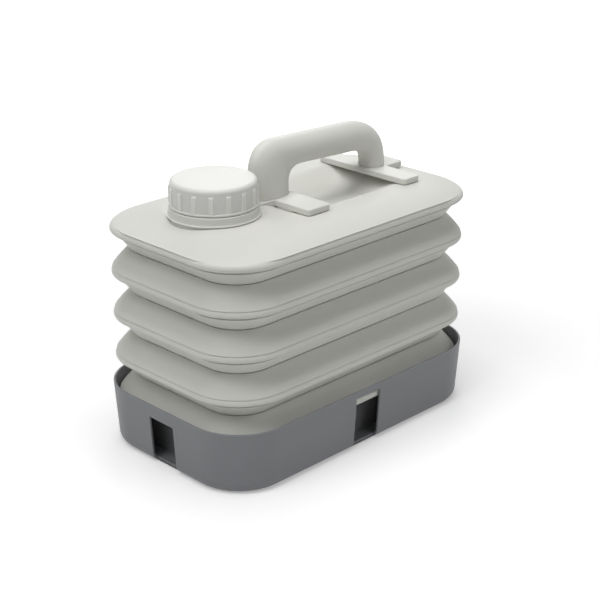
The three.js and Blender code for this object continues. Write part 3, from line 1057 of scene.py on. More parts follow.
@dataclass(frozen=True)
class FoldSizes:
    """The section of a fold, measured from its crease."""

    wall: float = 1.8
    valley_rise: float = 16.5
    valley_inset: float = 16.3
    crown: float = 0.6
    bead_drop: float = HEIGHTS.bead_drop
    bead_inset: float = 3.0
    bead_crown: float = 2.0
    groove_drop: float = 0.6
    groove_half: float = 0.5
    groove_depth: float = 0.6
    groove_lip: float = 1.2
    wall_lip: float = 0.9
    lip: float = 6.5
    lip_rise: float = 0.8
    lip_wall: float = 1.2
    web_set_back: float = 2.0
    neck_in: float = 1.9
    neck_drop: float = 3.3
    neck_shelf: float = 0.8
    trench_in: float = 1.3
    trench_dip: float = 0.6
    trench_rise: float = 1.3

    def bead_section(self, crease: float, steps: int) -> np.ndarray:
        """Gives the outside of the bead, from its inner lip up to the groove.

        Args:
            crease: the height of the crease.
            steps: the steps of the bead.

        Returns:
            Points, outward and up.
        """
        low = crease - self.bead_drop
        groove = crease - self.groove_drop
        bead = crowned((-self.bead_inset, low), (-self.groove_lip, groove - self.groove_half),
                       self.bead_crown, steps)
        return np.array([(-self.bead_inset - self.lip, low + self.lip_rise), *bead,
                         (-self.groove_lip - self.groove_depth, groove)])

    def wall_section(self, crease: float, steps: int) -> np.ndarray:
        """Gives the outside of the upper wall, from the groove to the valley."""
        return crowned((-self.wall_lip, crease - self.groove_drop + self.groove_half),
                       (-self.valley_inset, crease + self.valley_rise), self.crown, steps)

    def inner_section(self, crease: float, steps: int) -> np.ndarray:
        """Gives the inside of the fold, from the valley down to the bead's edge.

        Args:
            crease: the height of the crease.
            steps: the steps of each part.

        Returns:
            Points, outward and up.
        """
        corner = (-self.wall, crease - self.lip_wall)
        low = (-self.bead_inset - self.wall, crease - self.bead_drop)
        bead = crowned(low, corner, self.bead_crown, steps)
        deepest = -self.valley_inset - self.trench_in
        wall = crowned(corner, (deepest, crease + self.valley_rise - self.wall), self.crown, steps)
        trench = (deepest, crease + self.valley_rise - self.trench_dip)
        return np.array([*bead, *wall[1:], trench])[::-1]


FOLD_INPUTS = (
    "Bead Drop", "Bead Inset", "Bead Crown", "Valley Rise", "Valley Inset", "Crown", "Wall",
    "Groove Drop", "Groove Half", "Groove Depth", "Groove Lip", "Wall Lip", "Lip", "Lip Rise",
    "Lip Wall", "Trench In", "Trench Dip",
)
WEB_INPUTS = (
    "Top Inset", "Bottom Inset", "Drop", "Wall", "Neck In", "Neck Drop", "Neck Shelf",
    "Trench In", "Trench Rise", "Slope",
)
PLAN_INPUTS = ("Half Length", "Half Width", "Corner Radius")


@dataclass
class Bellows(SubAssembly):
    """The folds, the webs between them and the tank's foot."""

    fold: FoldSizes = FoldSizes()
    corner_steps: int = 24
    bead_steps: int = BEAD_STEPS
    wall_steps: int = 18
    web_steps: int = 16
    foot_draw_in: float = 1.2
    foot_floor_inset: float = 9.0
    foot_floor: float = 2.0
    foot_crown: float = 0.5
    foot_steps: int = 5
    edge: float = 0.2
    least_edge: float = 40.0
    sharp: float = 50.0

    def fold_tree(self, line: Tree, sweep: Tree) -> Tree:
        """Builds the tree that makes one fold from its sizes.

        Args:
            line: the group for a crowned line.
            sweep: the group that carries a section round the plan.

        Returns:
            The tree.
        """
        tree = Tree.maker("Fold")
        size, minus = tree.take_sizes(FOLD_INPUTS)
        bead_steps = tree.take("Bead Steps", WHOLE, 8)
        wall_steps = tree.take("Wall Steps", WHOLE, 8)
        edge = tree.point(minus["Bead Inset"], minus["Bead Drop"])
        lip_in = tree.less(minus["Bead Inset"], size["Lip"])
        lip_up = tree.plus(minus["Bead Drop"], size["Lip Rise"])
        lip = tree.point(lip_in, lip_up)
        groove_in = tree.less(minus["Groove Lip"], size["Groove Depth"])
        groove = tree.point(groove_in, minus["Groove Drop"])
        below = tree.less(minus["Groove Drop"], size["Groove Half"])
        groove_low = tree.point(minus["Groove Lip"], below)
        above = tree.plus(minus["Groove Drop"], size["Groove Half"])
        groove_high = tree.point(minus["Wall Lip"], above)
        valley = tree.point(minus["Valley Inset"], size["Valley Rise"])
        deepest = tree.less(minus["Valley Inset"], size["Trench In"])
        trench = tree.point(deepest, tree.less(size["Valley Rise"], size["Trench Dip"]))
        inner_valley = tree.point(deepest, tree.less(size["Valley Rise"], size["Wall"]))
        inner_crease = tree.point(minus["Wall"], minus["Lip Wall"])
        inner_edge = tree.point(lip_in, tree.plus(lip_up, size["Lip Wall"]))
        runs = [
            (lip, edge, 0.0, 1),
            (edge, groove_low, size["Bead Crown"], bead_steps),
            (groove_low, groove, 0.0, 1),
            (groove, groove_high, 0.0, 1),
            (groove_high, valley, size["Crown"], wall_steps),
            (valley, trench, 0.0, 1),
            (trench, inner_valley, 0.0, 1),
            (inner_crease, inner_valley, size["Crown"], wall_steps),
            (inner_edge, inner_crease, size["Bead Crown"], bead_steps),
            (inner_edge, lip, 0.0, 1),
        ]
        return self.swept_tree(tree, line, sweep, runs)

    def web_tree(self, line: Tree, sweep: Tree) -> Tree:
        """Builds the tree that makes one web from its sizes.

        Args:
            line: the group for a crowned line.
            sweep: the group that carries a section round the plan.

        Returns:
            The tree.
        """
        tree = Tree.maker("Web")
        size, minus = tree.take_sizes(WEB_INPUTS)
        steps = tree.take("Web Steps", WHOLE, 8)
        drift = tree.times(size["Slope"], size["Neck Drop"])
        out = tree.less(minus["Top Inset"], drift)
        knee = tree.point(out, minus["Neck Drop"])
        back = tree.less(out, size["Neck In"])
        nook = tree.point(back, tree.less(size["Neck Shelf"], size["Neck Drop"]))
        top = tree.point(back, 0.0)
        climb = tree.times(size["Slope"], size["Trench Rise"])
        heel = tree.point(tree.plus(minus["Bottom Inset"], climb),
                          tree.less(size["Trench Rise"], size["Drop"]))
        bottom = tree.point(tree.less(minus["Bottom Inset"], size["Trench In"]), minus["Drop"])
        inner_top = tree.point(tree.less(back, size["Wall"]), 0.0)
        inner_bottom = tree.point(tree.less(minus["Bottom Inset"], size["Wall"]), minus["Drop"])
        runs = [
            (bottom, heel, 0.0, 2),
            (heel, knee, 0.0, steps),
            (knee, nook, 0.0, 1),
            (nook, top, 0.0, 1),
            (top, inner_top, 0.0, 1),
            (inner_bottom, inner_top, 0.0, steps),
            (inner_bottom, bottom, 0.0, 1),
        ]
        return self.swept_tree(tree, line, sweep, runs)

    def swept_tree(self, tree: Tree, line: Tree, sweep: Tree, runs: Sequence[tuple]) -> Tree:
        """Ends a tree by joining the runs of its section and carrying them round the plan.

        Args:
            tree: the tree.
            line: the group for a crowned line.
            sweep: the group that carries a section round the plan.
            runs: each run's start, end, crown and steps.

        Returns:
            The same tree.
        """
        curves = [
            tree.use(line, {"From": start, "To": end, "Crown": crown, "Steps": steps}).outputs[0]
            for start, end, crown, steps in runs
        ]
        round_plan = tree.use(sweep, {
            "Section": tree.joined(*curves),
            **{name: tree.take(name, FLOAT) for name in PLAN_INPUTS},
            "Corner Steps": tree.take("Corner Steps", WHOLE, 20),
            "Height": tree.take("Height", FLOAT),
            "Material": tree.take("Material", MATERIAL),
        })
        tree.give({"Mesh": (GEOMETRY, round_plan.outputs[0])})
        return tree

    def plan_values(self, height: float) -> dict[str, object]:
        """Gives the values that every sweep shares.

        Args:
            height: the height that the section is measured from.

        Returns:
            The values by input name.
        """
        return {
            **in_metres(FOLD_PLAN, PLAN_INPUTS),
            "Corner Steps": self.corner_steps,
            "Height": height * MM,
            "Material": self.materials[Slot.TANK],
        }

    def make_fold(self, tree: Tree, number: int) -> bpy.types.Object:
        """Makes one fold.

        Args:
            tree: the tree for folds.
            number: the fold's number.

        Returns:
            The fold.
        """
        piece = tree.run(f"fold_{number}_skin", {
            **in_metres(self.fold, FOLD_INPUTS),
            "Bead Steps": self.bead_steps,
            "Wall Steps": self.wall_steps,
            **self.plan_values(HEIGHTS.crease(number)),
        })
        tidy_mesh(piece)
        softened(piece, self.edge, self.least_edge)
        return piece

    def make_web(self, tree: Tree, number: int) -> tuple[bpy.types.Object, float, float]:
        """Makes the web under one fold.

        Args:
            tree: the tree for webs.
            number: the number of the fold above it.

        Returns:
            The web, and the heights of the valley below it and the bead above it.
        """
        fold = self.fold
        bead = HEIGHTS.crease(number) - fold.bead_drop
        valley = HEIGHTS.crease(number + 1) + fold.valley_rise
        below = self.foot_draw_in if number == HEIGHTS.fold_count - 1 else 0.0
        top_inset = fold.bead_inset + fold.web_set_back
        bottom_inset = fold.valley_inset + below
        slope = (bottom_inset - top_inset) / (bead - valley)
        top = bead + 2 * TUCK
        bottom = valley - TUCK
        piece = tree.run(f"web_{number}_skin", {
            "Top Inset": (top_inset - slope * 2 * TUCK) * MM,
            "Bottom Inset": (bottom_inset + slope * TUCK) * MM,
            "Drop": (top - bottom) * MM,
            "Wall": fold.wall * math.hypot(1, slope) * MM,
            "Neck Drop": (fold.neck_drop + 2 * TUCK) * MM,
            "Trench In": (fold.trench_in - TUCK) * MM,
            **in_metres(fold, ("Neck In", "Neck Shelf", "Trench Rise")),
            "Slope": slope,
            "Web Steps": self.web_steps,
            **self.plan_values(top),
        })
        tidy_mesh(piece)
        return piece, valley, bead

    def make_foot(self) -> bpy.types.Object:
        """Makes the tank's foot: the lowest fold, drawn in, with its floor."""
        fold = self.fold
        crease = HEIGHTS.crease(HEIGHTS.fold_count)
        low = crease - fold.bead_drop
        underside = crowned((-self.foot_floor_inset, HEIGHTS.tank_bottom), (-fold.bead_inset, low),
                            self.foot_crown, self.foot_steps)
        inner_floor = (-self.foot_floor_inset - fold.wall, HEIGHTS.tank_bottom + self.foot_floor)
        section = [
            *underside[:-1],
            *fold.bead_section(crease, self.bead_steps)[1:],
            *fold.wall_section(crease, self.wall_steps),
            *fold.inner_section(crease, INNER_STEPS),
            inner_floor,
        ]
        plan = FOLD_PLAN.drawn_in(self.foot_draw_in)
        piece = skinned("tank_foot_skin", section_rings(plan, section, RingSteps(self.corner_steps)))
        softened(piece, self.edge, self.least_edge)
        return piece

    def build(self) -> None:
        """Builds the foot, the folds and the webs."""
        line, sweep = crowned_line_group(), round_plan_group()
        fold_tree, web_tree = self.fold_tree(line, sweep), self.web_tree(line, sweep)
        bodies = {5: Body.BASE, 4: Body.LOWER, 3: Body.MIDDLE, 2: Body.UPPER, 1: Body.TOP}
        self.seat(self.make_foot(), Body.BASE, Slot.TANK, ["tank_foot"], self.sharp)
        for number in (4, 3, 2):
            fold = self.make_fold(fold_tree, number)
            self.seat(fold, bodies[number], Slot.TANK, [f"fold_{number}"], self.sharp)
        for number in (4, 3, 2, 1):
            web, valley, bead = self.make_web(web_tree, number)
            shaded(web, self.sharp)
            self.dress(web, Slot.TANK)
            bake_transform(web)
            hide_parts(f"web_{number}")


# The shoulder


@dataclass
class Shoulder(SubAssembly):
    """The tank's top: a soft band, a mound round the neck and a dish for the fingers."""

    fold: FoldSizes = FoldSizes()
    band: float = 40.0
    roll: float = 8.0
    mound: float = 4.4
    mound_reach: float = 32.0
    collar_radius: float = COLLAR_RADIUS
    ring_radius: float = 38.0
    dish_ends: tuple[float, float] = (-46.0, 121.0)
    dish_half_width: float = 46.0
    dish_depth: float = 15.5
    dish_floor_share: float = 0.32
    soft_share: float = 0.6
    tab_half_width: float = TAB_HALF_WIDTH
    channel_end: float = -6.0
    ring_count: int = 46
    ring_ease: float = 1.15
    steps: RingSteps = RingSteps(24, 70, 20)

    def height(self, x: np.ndarray, y: np.ndarray, inset: float) -> np.ndarray:
        """Gives the height of the outer skin.

        Args:
            x: places along the tank.
            y: places across it.
            inset: how far they lie in from the crease.

        Returns:
            The heights.
        """
        band_share = min(inset / self.band, 1)
        rolled = (self.fold.groove_drop - self.fold.groove_half) * max(1 - inset / self.roll, 0) ** 2
        pillow = HEIGHTS.shoulder_rise * (1 - (1 - band_share) ** 2) - rolled
        from_collar = np.hypot(x - NECK_X, y) - self.collar_radius
        mound = self.mound * (1 - smooth(from_collar / self.mound_reach)) * smooth(np.array(band_share))
        middle = sum(self.dish_ends) / 2
        half = (self.dish_ends[1] - self.dish_ends[0]) / 2
        run = 1 - self.dish_floor_share
        along = (np.abs(x - middle) / half - self.dish_floor_share) / run
        across = (np.abs(y) / self.dish_half_width - self.dish_floor_share) / run
        hollow = self.dish_depth * (1 - smooth(along)) * (1 - smooth(across))
        return HEIGHTS.crease(1) + pillow + mound - hollow

    def skin(self, name: str, depth: float) -> bpy.types.Object:
        """Makes the body under the skin as one closed solid.

        Args:
            name: the object's name.
            depth: 0 for the outside, the wall's thickness for the inside.

        Returns:
            The solid.
        """
        fold, crease = self.fold, HEIGHTS.crease(1)
        if depth:
            low = crease - fold.bead_drop
            inner = -fold.bead_inset - fold.lip
            bead = crowned((inner, low + fold.lip_rise + fold.lip_wall), (-depth, crease - depth),
                           fold.bead_crown, INNER_STEPS)
            section = [(inner, low - OVERRUN), *bead]
        else:
            section = fold.bead_section(crease, BEAD_STEPS)
        rings = section_rings(FOLD_PLAN, section, self.steps)
        first = fold.wall_lip if not depth else depth
        shares = np.linspace(0, 1, self.ring_count) ** self.ring_ease
        for share in shares if not depth else shares[1:]:
            inset = first + share * (FOLD_PLAN.half_width - first)
            ring = FOLD_PLAN.drawn_in(inset, self.soft_share).ring(0, self.steps)
            ring[:, 2] = self.height(ring[:, 0], ring[:, 1], inset) - depth
            rings.append(ring)
        return skinned(name, rings)

    def bed(self, name: str, margin: float, low: float) -> bpy.types.Object:
        """Makes the solid for the seat in which the front bracket's ring and tab lie.

        Args:
            name: the object's name.
            margin: how much larger it is than they are.
            low: its lowest height.

        Returns:
            The solid.
        """
        half = self.tab_half_width + margin
        up = (low, HEIGHTS.cap_top)
        seat = post(name, NECK_X, self.ring_radius + margin, up, TURN_STEPS)
        channel = block("channel", (NECK_X, self.channel_end + margin), (-half, half), up)
        worked(seat, [channel], Cut.JOINED)
        return seat

    def build(self) -> None:
        """Builds the shoulder."""
        wall = self.fold.wall
        piece = self.skin("shoulder_skin", 0.0)
        worked(piece, [self.bed("bed", CLEARANCE, HEIGHTS.ring_seat)], Cut.AWAY)
        inside = self.skin("inside", wall)
        worked(inside, [self.bed("inner_bed", CLEARANCE + wall, HEIGHTS.ring_seat - wall)], Cut.AWAY)
        hole = post("hole", NECK_X, NECK_RADIUS + CLEARANCE, (HEIGHTS.tank_bottom, HEIGHTS.cap_top))
        worked(piece, [inside, hole], Cut.AWAY)
        self.seat(piece, Body.TOP, Slot.TANK, ["shoulder"])


# The mouth


THREAD_STEPS = 72  # the steps of one turn of a thread
RUN_OUT = 0.06  # the share of a thread that fades at each end
LEAST_THREAD = 0.02  # how much of its section is left there


def thread_tree() -> Tree:
    """Builds the tree that winds a screw thread onto a turned piece."""
    tree = Tree.maker("Thread")
    body = tree.take("Body", GEOMETRY)
    radius = tree.take("Radius", FLOAT)
    lead = tree.take("Lead", FLOAT)
    turns = tree.take("Turns", FLOAT)
    depth = tree.take("Depth", FLOAT)
    root = tree.take("Root Half", FLOAT)
    crest = tree.take("Crest Half", FLOAT)
    place = tree.take("Place", VECTOR)
    material = tree.take("Material", MATERIAL)
    spiral = tree.add("GeometryNodeCurveSpiral", {
        "Resolution": THREAD_STEPS,
        "Rotations": turns,
        "Start Radius": radius,
        "End Radius": radius,
        "Height": tree.times(lead, turns),
        "Reverse": True,
    })
    upright = tree.add("GeometryNodeSetCurveNormal", {"Curve": spiral.outputs[0]}, mode="Z_UP")
    section = tree.add("GeometryNodeCurvePrimitiveQuadrilateral", {
        "Point 1": tree.point(0.0, tree.times(root, -1.0)),
        "Point 2": tree.point(depth, tree.times(crest, -1.0)),
        "Point 3": tree.point(depth, crest),
        "Point 4": tree.point(0.0, root),
    }, mode="POINTS")
    along = tree.add("GeometryNodeSplineParameter").outputs["Factor"]
    from_end = tree.math("MINIMUM", along, tree.less(1.0, along))
    fade = tree.mapped(from_end, (0.0, RUN_OUT), (LEAST_THREAD, 1.0), smooth=True)
    ridge = tree.add("GeometryNodeCurveToMesh", {
        "Curve": upright.outputs[0],
        "Profile Curve": section.outputs[0],
        "Scale": fade,
        "Fill Caps": True,
    })
    moved = tree.add("GeometryNodeTransform", {"Geometry": ridge.outputs[0], "Translation": place})
    tree.give_mesh(tree.joined(body, moved.outputs[0]), material)
    return tree


def ribs_tree() -> Tree:
    """Builds the tree that sets ribs round a turned piece."""
    tree = Tree.maker("Ribs")
    body = tree.take("Body", GEOMETRY)
    rib = tree.take("Rib", OBJECT)
    count = tree.take("Count", WHOLE, 16)
    place = tree.take("Place", VECTOR)
    material = tree.take("Material", MATERIAL)
    middle = tree.add("GeometryNodeMeshLine", {
        "Count": count,
        "Start Location": place,
        "Offset": (0.0, 0.0, 0.0),
    }, mode="OFFSET")
    share = tree.math("DIVIDE", tree.add("GeometryNodeInputIndex").outputs[0], count)
    turn = tree.add("ShaderNodeCombineXYZ", {"Z": tree.times(share, math.tau)})
    rotation = tree.add("FunctionNodeEulerToRotation", {0: turn.outputs[0]})
    ribs = tree.copies(middle.outputs[0], rib, {"Rotation": rotation.outputs[0]})
    tree.give_mesh(tree.joined(body, ribs), material)
    return tree


@dataclass
class Mouth(SubAssembly):
    """The neck, the collar, the cap and its liner, on one axis."""

    bore: float = 28.0
    neck_lip: float = 1.0
    flange_width: float = 3.0
    flange_thickness: float = 2.0
    tank_wall: float = FoldSizes.wall
    collar_radius: float = COLLAR_RADIUS
    collar_flare: float = 1.5
    collar_flare_height: float = 3.6
    collar_edge: float = 1.3
    cap_radius: float = 37.5
    cap_wall: float = 2.4
    flange_height: float = 1.7
    flange_edge: float = 0.4
    rib_height: float = 1.0
    rib_width: float = 5.0
    rib_crest_width: float = 3.6
    rib_stop: float = 4.8
    rib_run: float = 1.2
    rib_count: int = 16
    rib_sink: float = 0.5
    rib_flank_points: int = 5
    rib_levels: int = 7
    crown_radius: float = 3.6
    cap_sides: int = 192
    round_steps: int = 10
    small_steps: int = 3
    thread_lead: float = 6.0
    thread_turns: float = 2.0
    thread_depth: float = 2.1
    thread_root: float = 1.3
    thread_crest: float = 0.6

    @property
    def panel_radius(self) -> float:
        """The radius of the cap between its ribs."""
        return self.cap_radius - self.rib_height - self.flange_edge

    def wound(self, piece: bpy.types.Object, tree: Tree, slot: Slot, radius: float, depth: float,
              first: float) -> None:
        """Winds a thread onto a piece.

        Args:
            piece: the piece.
            tree: the tree for threads.
            slot: the piece's finish.
            radius: where the thread's root lies.
            depth: how far it stands out, negative on the inside of a piece.
            first: the height of its start.
        """
        tree.run(piece.name, {
            "Radius": radius * MM,
            "Lead": self.thread_lead * MM,
            "Turns": self.thread_turns,
            "Depth": depth * MM,
            "Root Half": self.thread_root * MM,
            "Crest Half": self.thread_crest * MM,
            "Place": (NECK_X * MM, 0.0, first * MM),
            "Material": self.materials[slot],
        }, base=piece)
        tidy_mesh(piece)

    def build_neck(self, threads: Tree) -> None:
        """Builds the neck with its flange under the skin and its thread."""
        flange_top = HEIGHTS.ring_seat - self.tank_wall - CLEARANCE
        flange_radius = NECK_RADIUS + self.flange_width
        flange_low = flange_top - self.flange_thickness
        rim = HEIGHTS.neck_top - self.neck_lip
        piece = turned("neck_tube", [
            (self.bore, flange_low),
            (flange_radius, flange_low),
            (flange_radius, flange_top),
            (NECK_RADIUS, flange_top),
            *quarter((NECK_RADIUS - self.neck_lip, rim), self.neck_lip, 0, EDGE_STEPS),
            *quarter((self.bore + self.neck_lip, rim), self.neck_lip, 1, EDGE_STEPS),
        ], NECK_X)
        self.wound(piece, threads, Slot.RIGID, NECK_RADIUS - self.rib_sink,
                   self.thread_depth + self.rib_sink, HEIGHTS.collar_top + self.thread_lead / 2)
        self.seat(piece, Body.TOP, Slot.RIGID, ["neck"])

    def build_collar(self) -> None:
        """Builds the collar with its flared foot."""
        bore = NECK_RADIUS + CLEARANCE
        waist = self.collar_radius - self.collar_flare
        low, top = HEIGHTS.collar_bottom, HEIGHTS.collar_top
        flare = bent(np.array([self.collar_radius, low + self.collar_edge / 2]), np.array([waist, low]),
                     np.array([waist, low + self.collar_flare_height]), self.round_steps)
        piece = turned("collar_ring", [
            (bore, low),
            (self.collar_radius, low),
            *flare,
            *quarter((waist - self.collar_edge, top - self.collar_edge), self.collar_edge, 0,
                     self.round_steps // 2),
            (bore, top),
        ], NECK_X)
        self.seat(piece, Body.TOP, Slot.RIGID, ["collar"])

    def rib(self) -> bpy.types.Object:
        """Makes one rib, standing on the cap's axis."""
        low, high = HEIGHTS.cap_bottom + self.flange_height - self.rib_sink, HEIGHTS.cap_top - self.rib_stop
        across = np.concatenate([
            np.linspace(-self.rib_width, -self.rib_crest_width, self.rib_flank_points),
            np.linspace(self.rib_crest_width, self.rib_width, self.rib_flank_points),
        ]) / 2
        slope_run = (self.rib_width - self.rib_crest_width) / 2
        side = smooth((self.rib_width / 2 - np.abs(across)) / slope_run)
        fading = np.linspace(high - 2 * self.rib_run, high, self.rib_levels)
        levels = np.concatenate([[low], fading])
        rings = []
        for level in levels:
            fade = smooth(np.array((high - level) / (2 * self.rib_run)))
            radius = self.panel_radius - CLEARANCE + (self.rib_height + CLEARANCE) * side * fade
            angle = across / self.panel_radius
            face = lifted(np.column_stack([radius * np.cos(angle), radius * np.sin(angle)]), level)
            back = face[::-1].copy()
            back[:, 0] = self.panel_radius - 2 * self.rib_sink
            rings.append(np.concatenate([face, back]))
        return skinned("rib", rings)

    def build_cap(self, threads: Tree) -> None:
        """Builds the cap with its ribs and its thread."""
        low, top = HEIGHTS.cap_bottom, HEIGHTS.cap_top
        panel, edge = self.panel_radius, self.flange_edge
        inner, roof = panel - self.cap_wall, top - HEIGHTS.cap_top_wall
        flange_top = low + self.flange_height
        piece = turned("cap_body", [
            (PIN_HOLE, top),
            (PIN_HOLE, roof),
            (inner - edge, roof),
            (inner, roof - edge),
            (inner, low + edge),
            (inner + edge, low),
            (self.cap_radius - edge, low),
            *quarter((self.cap_radius - edge, low + edge), edge, 3, self.small_steps)[1:],
            *quarter((self.cap_radius - edge, flange_top - edge), edge, 0, self.small_steps),
            (panel, flange_top),
            *quarter((panel - self.crown_radius, top - self.crown_radius), self.crown_radius, 0,
                     self.round_steps),
        ], NECK_X, self.cap_sides)
        rib = self.rib()
        ribs_tree().run(piece.name, {
            "Rib": rib,
            "Count": self.rib_count,
            "Place": (NECK_X * MM, 0.0, 0.0),
            "Material": self.materials[Slot.CAP],
        }, base=piece)
        discard(rib)
        self.wound(piece, threads, Slot.CAP, inner + self.rib_sink, -self.thread_depth - self.rib_sink,
                   HEIGHTS.collar_top + self.thread_lead)
        self.seat(piece, Body.CAP, Slot.CAP, ["cap"], 35.0)

    def build_liner(self) -> None:
        """Builds the liner."""
        radius = self.panel_radius - self.cap_wall - CLEARANCE
        top, low = HEIGHTS.liner_top, HEIGHTS.liner_top - HEIGHTS.liner
        soft = HEIGHTS.liner / 4
        piece = turned("cap_liner_disc", [
            (PIN_HOLE, top),
            (PIN_HOLE, low),
            *quarter((radius - soft, low + soft), soft, 3, self.small_steps),
            *quarter((radius - soft, top - soft), soft, 0, self.small_steps),
        ], NECK_X)
        self.seat(piece, Body.RIDER, Slot.LINER, ["cap_liner"])

    def build(self) -> None:
        """Builds the neck, the collar, the cap and the liner."""
        threads = thread_tree()
        self.build_neck(threads)
        self.build_collar()
        self.build_cap(threads)
        self.build_liner()


# The handle


@dataclass
class Handle(SubAssembly):
    """The two brackets, the grip between them and the screws that hold it."""

    ring_width: float = 7.1
    tab_half_width: float = TAB_HALF_WIDTH
    tab_start: float = -50.0
    front_plate: tuple[float, float] = (-33.0, -6.0)
    rear_plate: tuple[float, float] = (87.0, 108.0)
    rear_tab_end: float = 131.0
    plate_half_span: float = 53.0
    corner_radius: float = 4.0
    inner_radius: float = 1.5
    edge: float = 1.2
    front_leg: tuple[float, float] = (-49.8, -7.0)
    rear_leg: tuple[float, float] = (89.6, 112.4)
    half_width: float = 12.0
    bar_radius: float = 14.1
    front_height: float = 35.3
    rear_height: float = 32.5
    inner_front: tuple[float, float] = (15.0, 13.0)
    inner_rear: tuple[float, float] = (22.0, 15.0)
    outer_front: tuple[float, float] = (26.0, 31.0)
    outer_rear: tuple[float, float] = (54.0, 43.0)
    screw_places: tuple[float, float, float] = (-37.0, -17.0, 101.6)
    screw_radius: float = 2.0
    screw_length: float = 22.0
    head_radius: float = 3.8
    head_height: float = 2.4
    head_edge: float = 0.76
    head_side: float = 0.96
    ridge_share: float = 0.2
    thread_pitch: float = 1.0
    hole_sides: int = 32
    screw_sides: int = 24
    run_steps: tuple[int, ...] = (6, 28, 16, 28, 8)
    sides: int = 56

    def screw_bottoms(self) -> list[float]:
        """Gives the underside of the bracket at each screw."""
        return [HEIGHTS.ring_bottom, HEIGHTS.ring_bottom, HEIGHTS.plate_bottom]

    def plate_up(self) -> tuple[float, float]:
        """Gives the underside and the top of the brackets' plates."""
        return HEIGHTS.plate_bottom, HEIGHTS.plate_top

    def drilled(self, piece: bpy.types.Object, screws: Iterable[int]) -> None:
        """Drills a piece for some of the screws.

        Args:
            piece: the piece.
            screws: the numbers of the screws.
        """
        tools = []
        for number in screws:
            low = self.screw_bottoms()[number]
            head = low + self.head_height + 2 * CLEARANCE
            tip = low + self.screw_length + 2 * CLEARANCE
            place = self.screw_places[number]
            for radius, end in ((self.head_radius, head), (self.screw_radius, tip)):
                up = (low - OVERRUN, end)
                tools.append(post("screw_hole", place, radius + CLEARANCE, up, self.hole_sides))
        worked(piece, tools, Cut.AWAY)

    def build_front_bracket(self) -> None:
        """Builds the bracket that the collar clamps: ring, tab and plate."""
        near, far = self.front_plate
        span, tab = self.plate_half_span, self.tab_half_width
        corners = [(far, -span), (far, span), (near, span), (near, tab), (self.tab_start, tab),
                   (self.tab_start, -tab), (near, -tab), (near, -span)]
        large, small = self.corner_radius, self.inner_radius
        radii = [large, large, large, small, small, small, small, large]
        piece = slab("front_bracket_body", corners, radii, self.plate_up(), self.edge)
        bore = NECK_RADIUS + CLEARANCE
        ring_top = HEIGHTS.ring_bottom + HEIGHTS.ring
        ring = turned("ring", [
            (bore, HEIGHTS.ring_bottom),
            (bore + self.ring_width, HEIGHTS.ring_bottom),
            (bore + self.ring_width, ring_top),
            (bore, ring_top),
        ], NECK_X)
        link = block("link", (NECK_X + bore + self.ring_width / 2, self.tab_start + 2 * self.edge),
                     (self.edge - tab, tab - self.edge), (HEIGHTS.ring_bottom, ring_top))
        tab_corners = [(far, -tab), (far, tab), (self.tab_start, tab), (self.tab_start, -tab)]
        keel_up = (HEIGHTS.ring_bottom, HEIGHTS.plate_bottom + HEIGHTS.plate / 2)
        keel = slab("keel", tab_corners, [large] * 4, keel_up, self.edge, CLEARANCE / 2)
        worked(piece, [keel, link, ring], Cut.JOINED)
        self.drilled(piece, (0, 1))
        self.seat(piece, Body.TOP, Slot.RIGID, ["front_bracket"], weighted=True)

    def build_rear_bracket(self) -> None:
        """Builds the bracket under the rear leg: plate and tab."""
        near, far = self.rear_plate
        span, tab = self.plate_half_span, self.tab_half_width
        corners = [(far, -span), (far, -tab), (self.rear_tab_end, -tab), (self.rear_tab_end, tab),
                   (far, tab), (far, span), (near, span), (near, -span)]
        large, small = self.corner_radius, self.inner_radius
        radii = [large, small, large, large, small, large, large, large]
        piece = slab("rear_bracket_body", corners, radii, self.plate_up(), self.edge)
        self.drilled(piece, (2,))
        self.seat(piece, Body.TOP, Slot.RIGID, ["rear_bracket"], weighted=True)

    def grip_edge(self, front_x: float, rear_x: float, side: int, front: tuple[float, float],
                  rear: tuple[float, float]) -> np.ndarray:
        """Runs up the front leg, along the bar and down the rear leg.

        Args:
            front_x: where the front leg's edge stands.
            rear_x: where the rear leg's edge stands.
            side: 1 for the outer edge, -1 for the inner edge.
            front: how far the front bend runs along and down.
            rear: how far the rear bend runs along and down.

        Returns:
            Points along X and Z.
        """
        top, foot = HEIGHTS.plate_top, HEIGHTS.plate_top + CLEARANCE
        front_z = top + self.front_height + side * self.bar_radius
        rear_z = top + self.rear_height + side * self.bar_radius
        turns = [
            ((front_x, foot), (front_x, (foot + front_z - front[1]) / 2), (front_x, front_z - front[1])),
            ((front_x, front_z - front[1]), (front_x, front_z), (front_x + front[0], front_z)),
            ((front_x + front[0], front_z), None, (rear_x - rear[0], rear_z)),
            ((rear_x - rear[0], rear_z), (rear_x, rear_z), (rear_x, rear_z - rear[1])),
            ((rear_x, rear_z - rear[1]), (rear_x, (foot + rear_z - rear[1]) / 2), (rear_x, foot)),
        ]
        points = []
        for (start, middle, end), steps in zip(turns, self.run_steps):
            first, last = np.array(start), np.array(end)
            bend = (first + last) / 2 if middle is None else np.array(middle)
            run = bent(first, bend, last, steps)
            points.extend(run if not points else run[1:])
        return np.array(points)

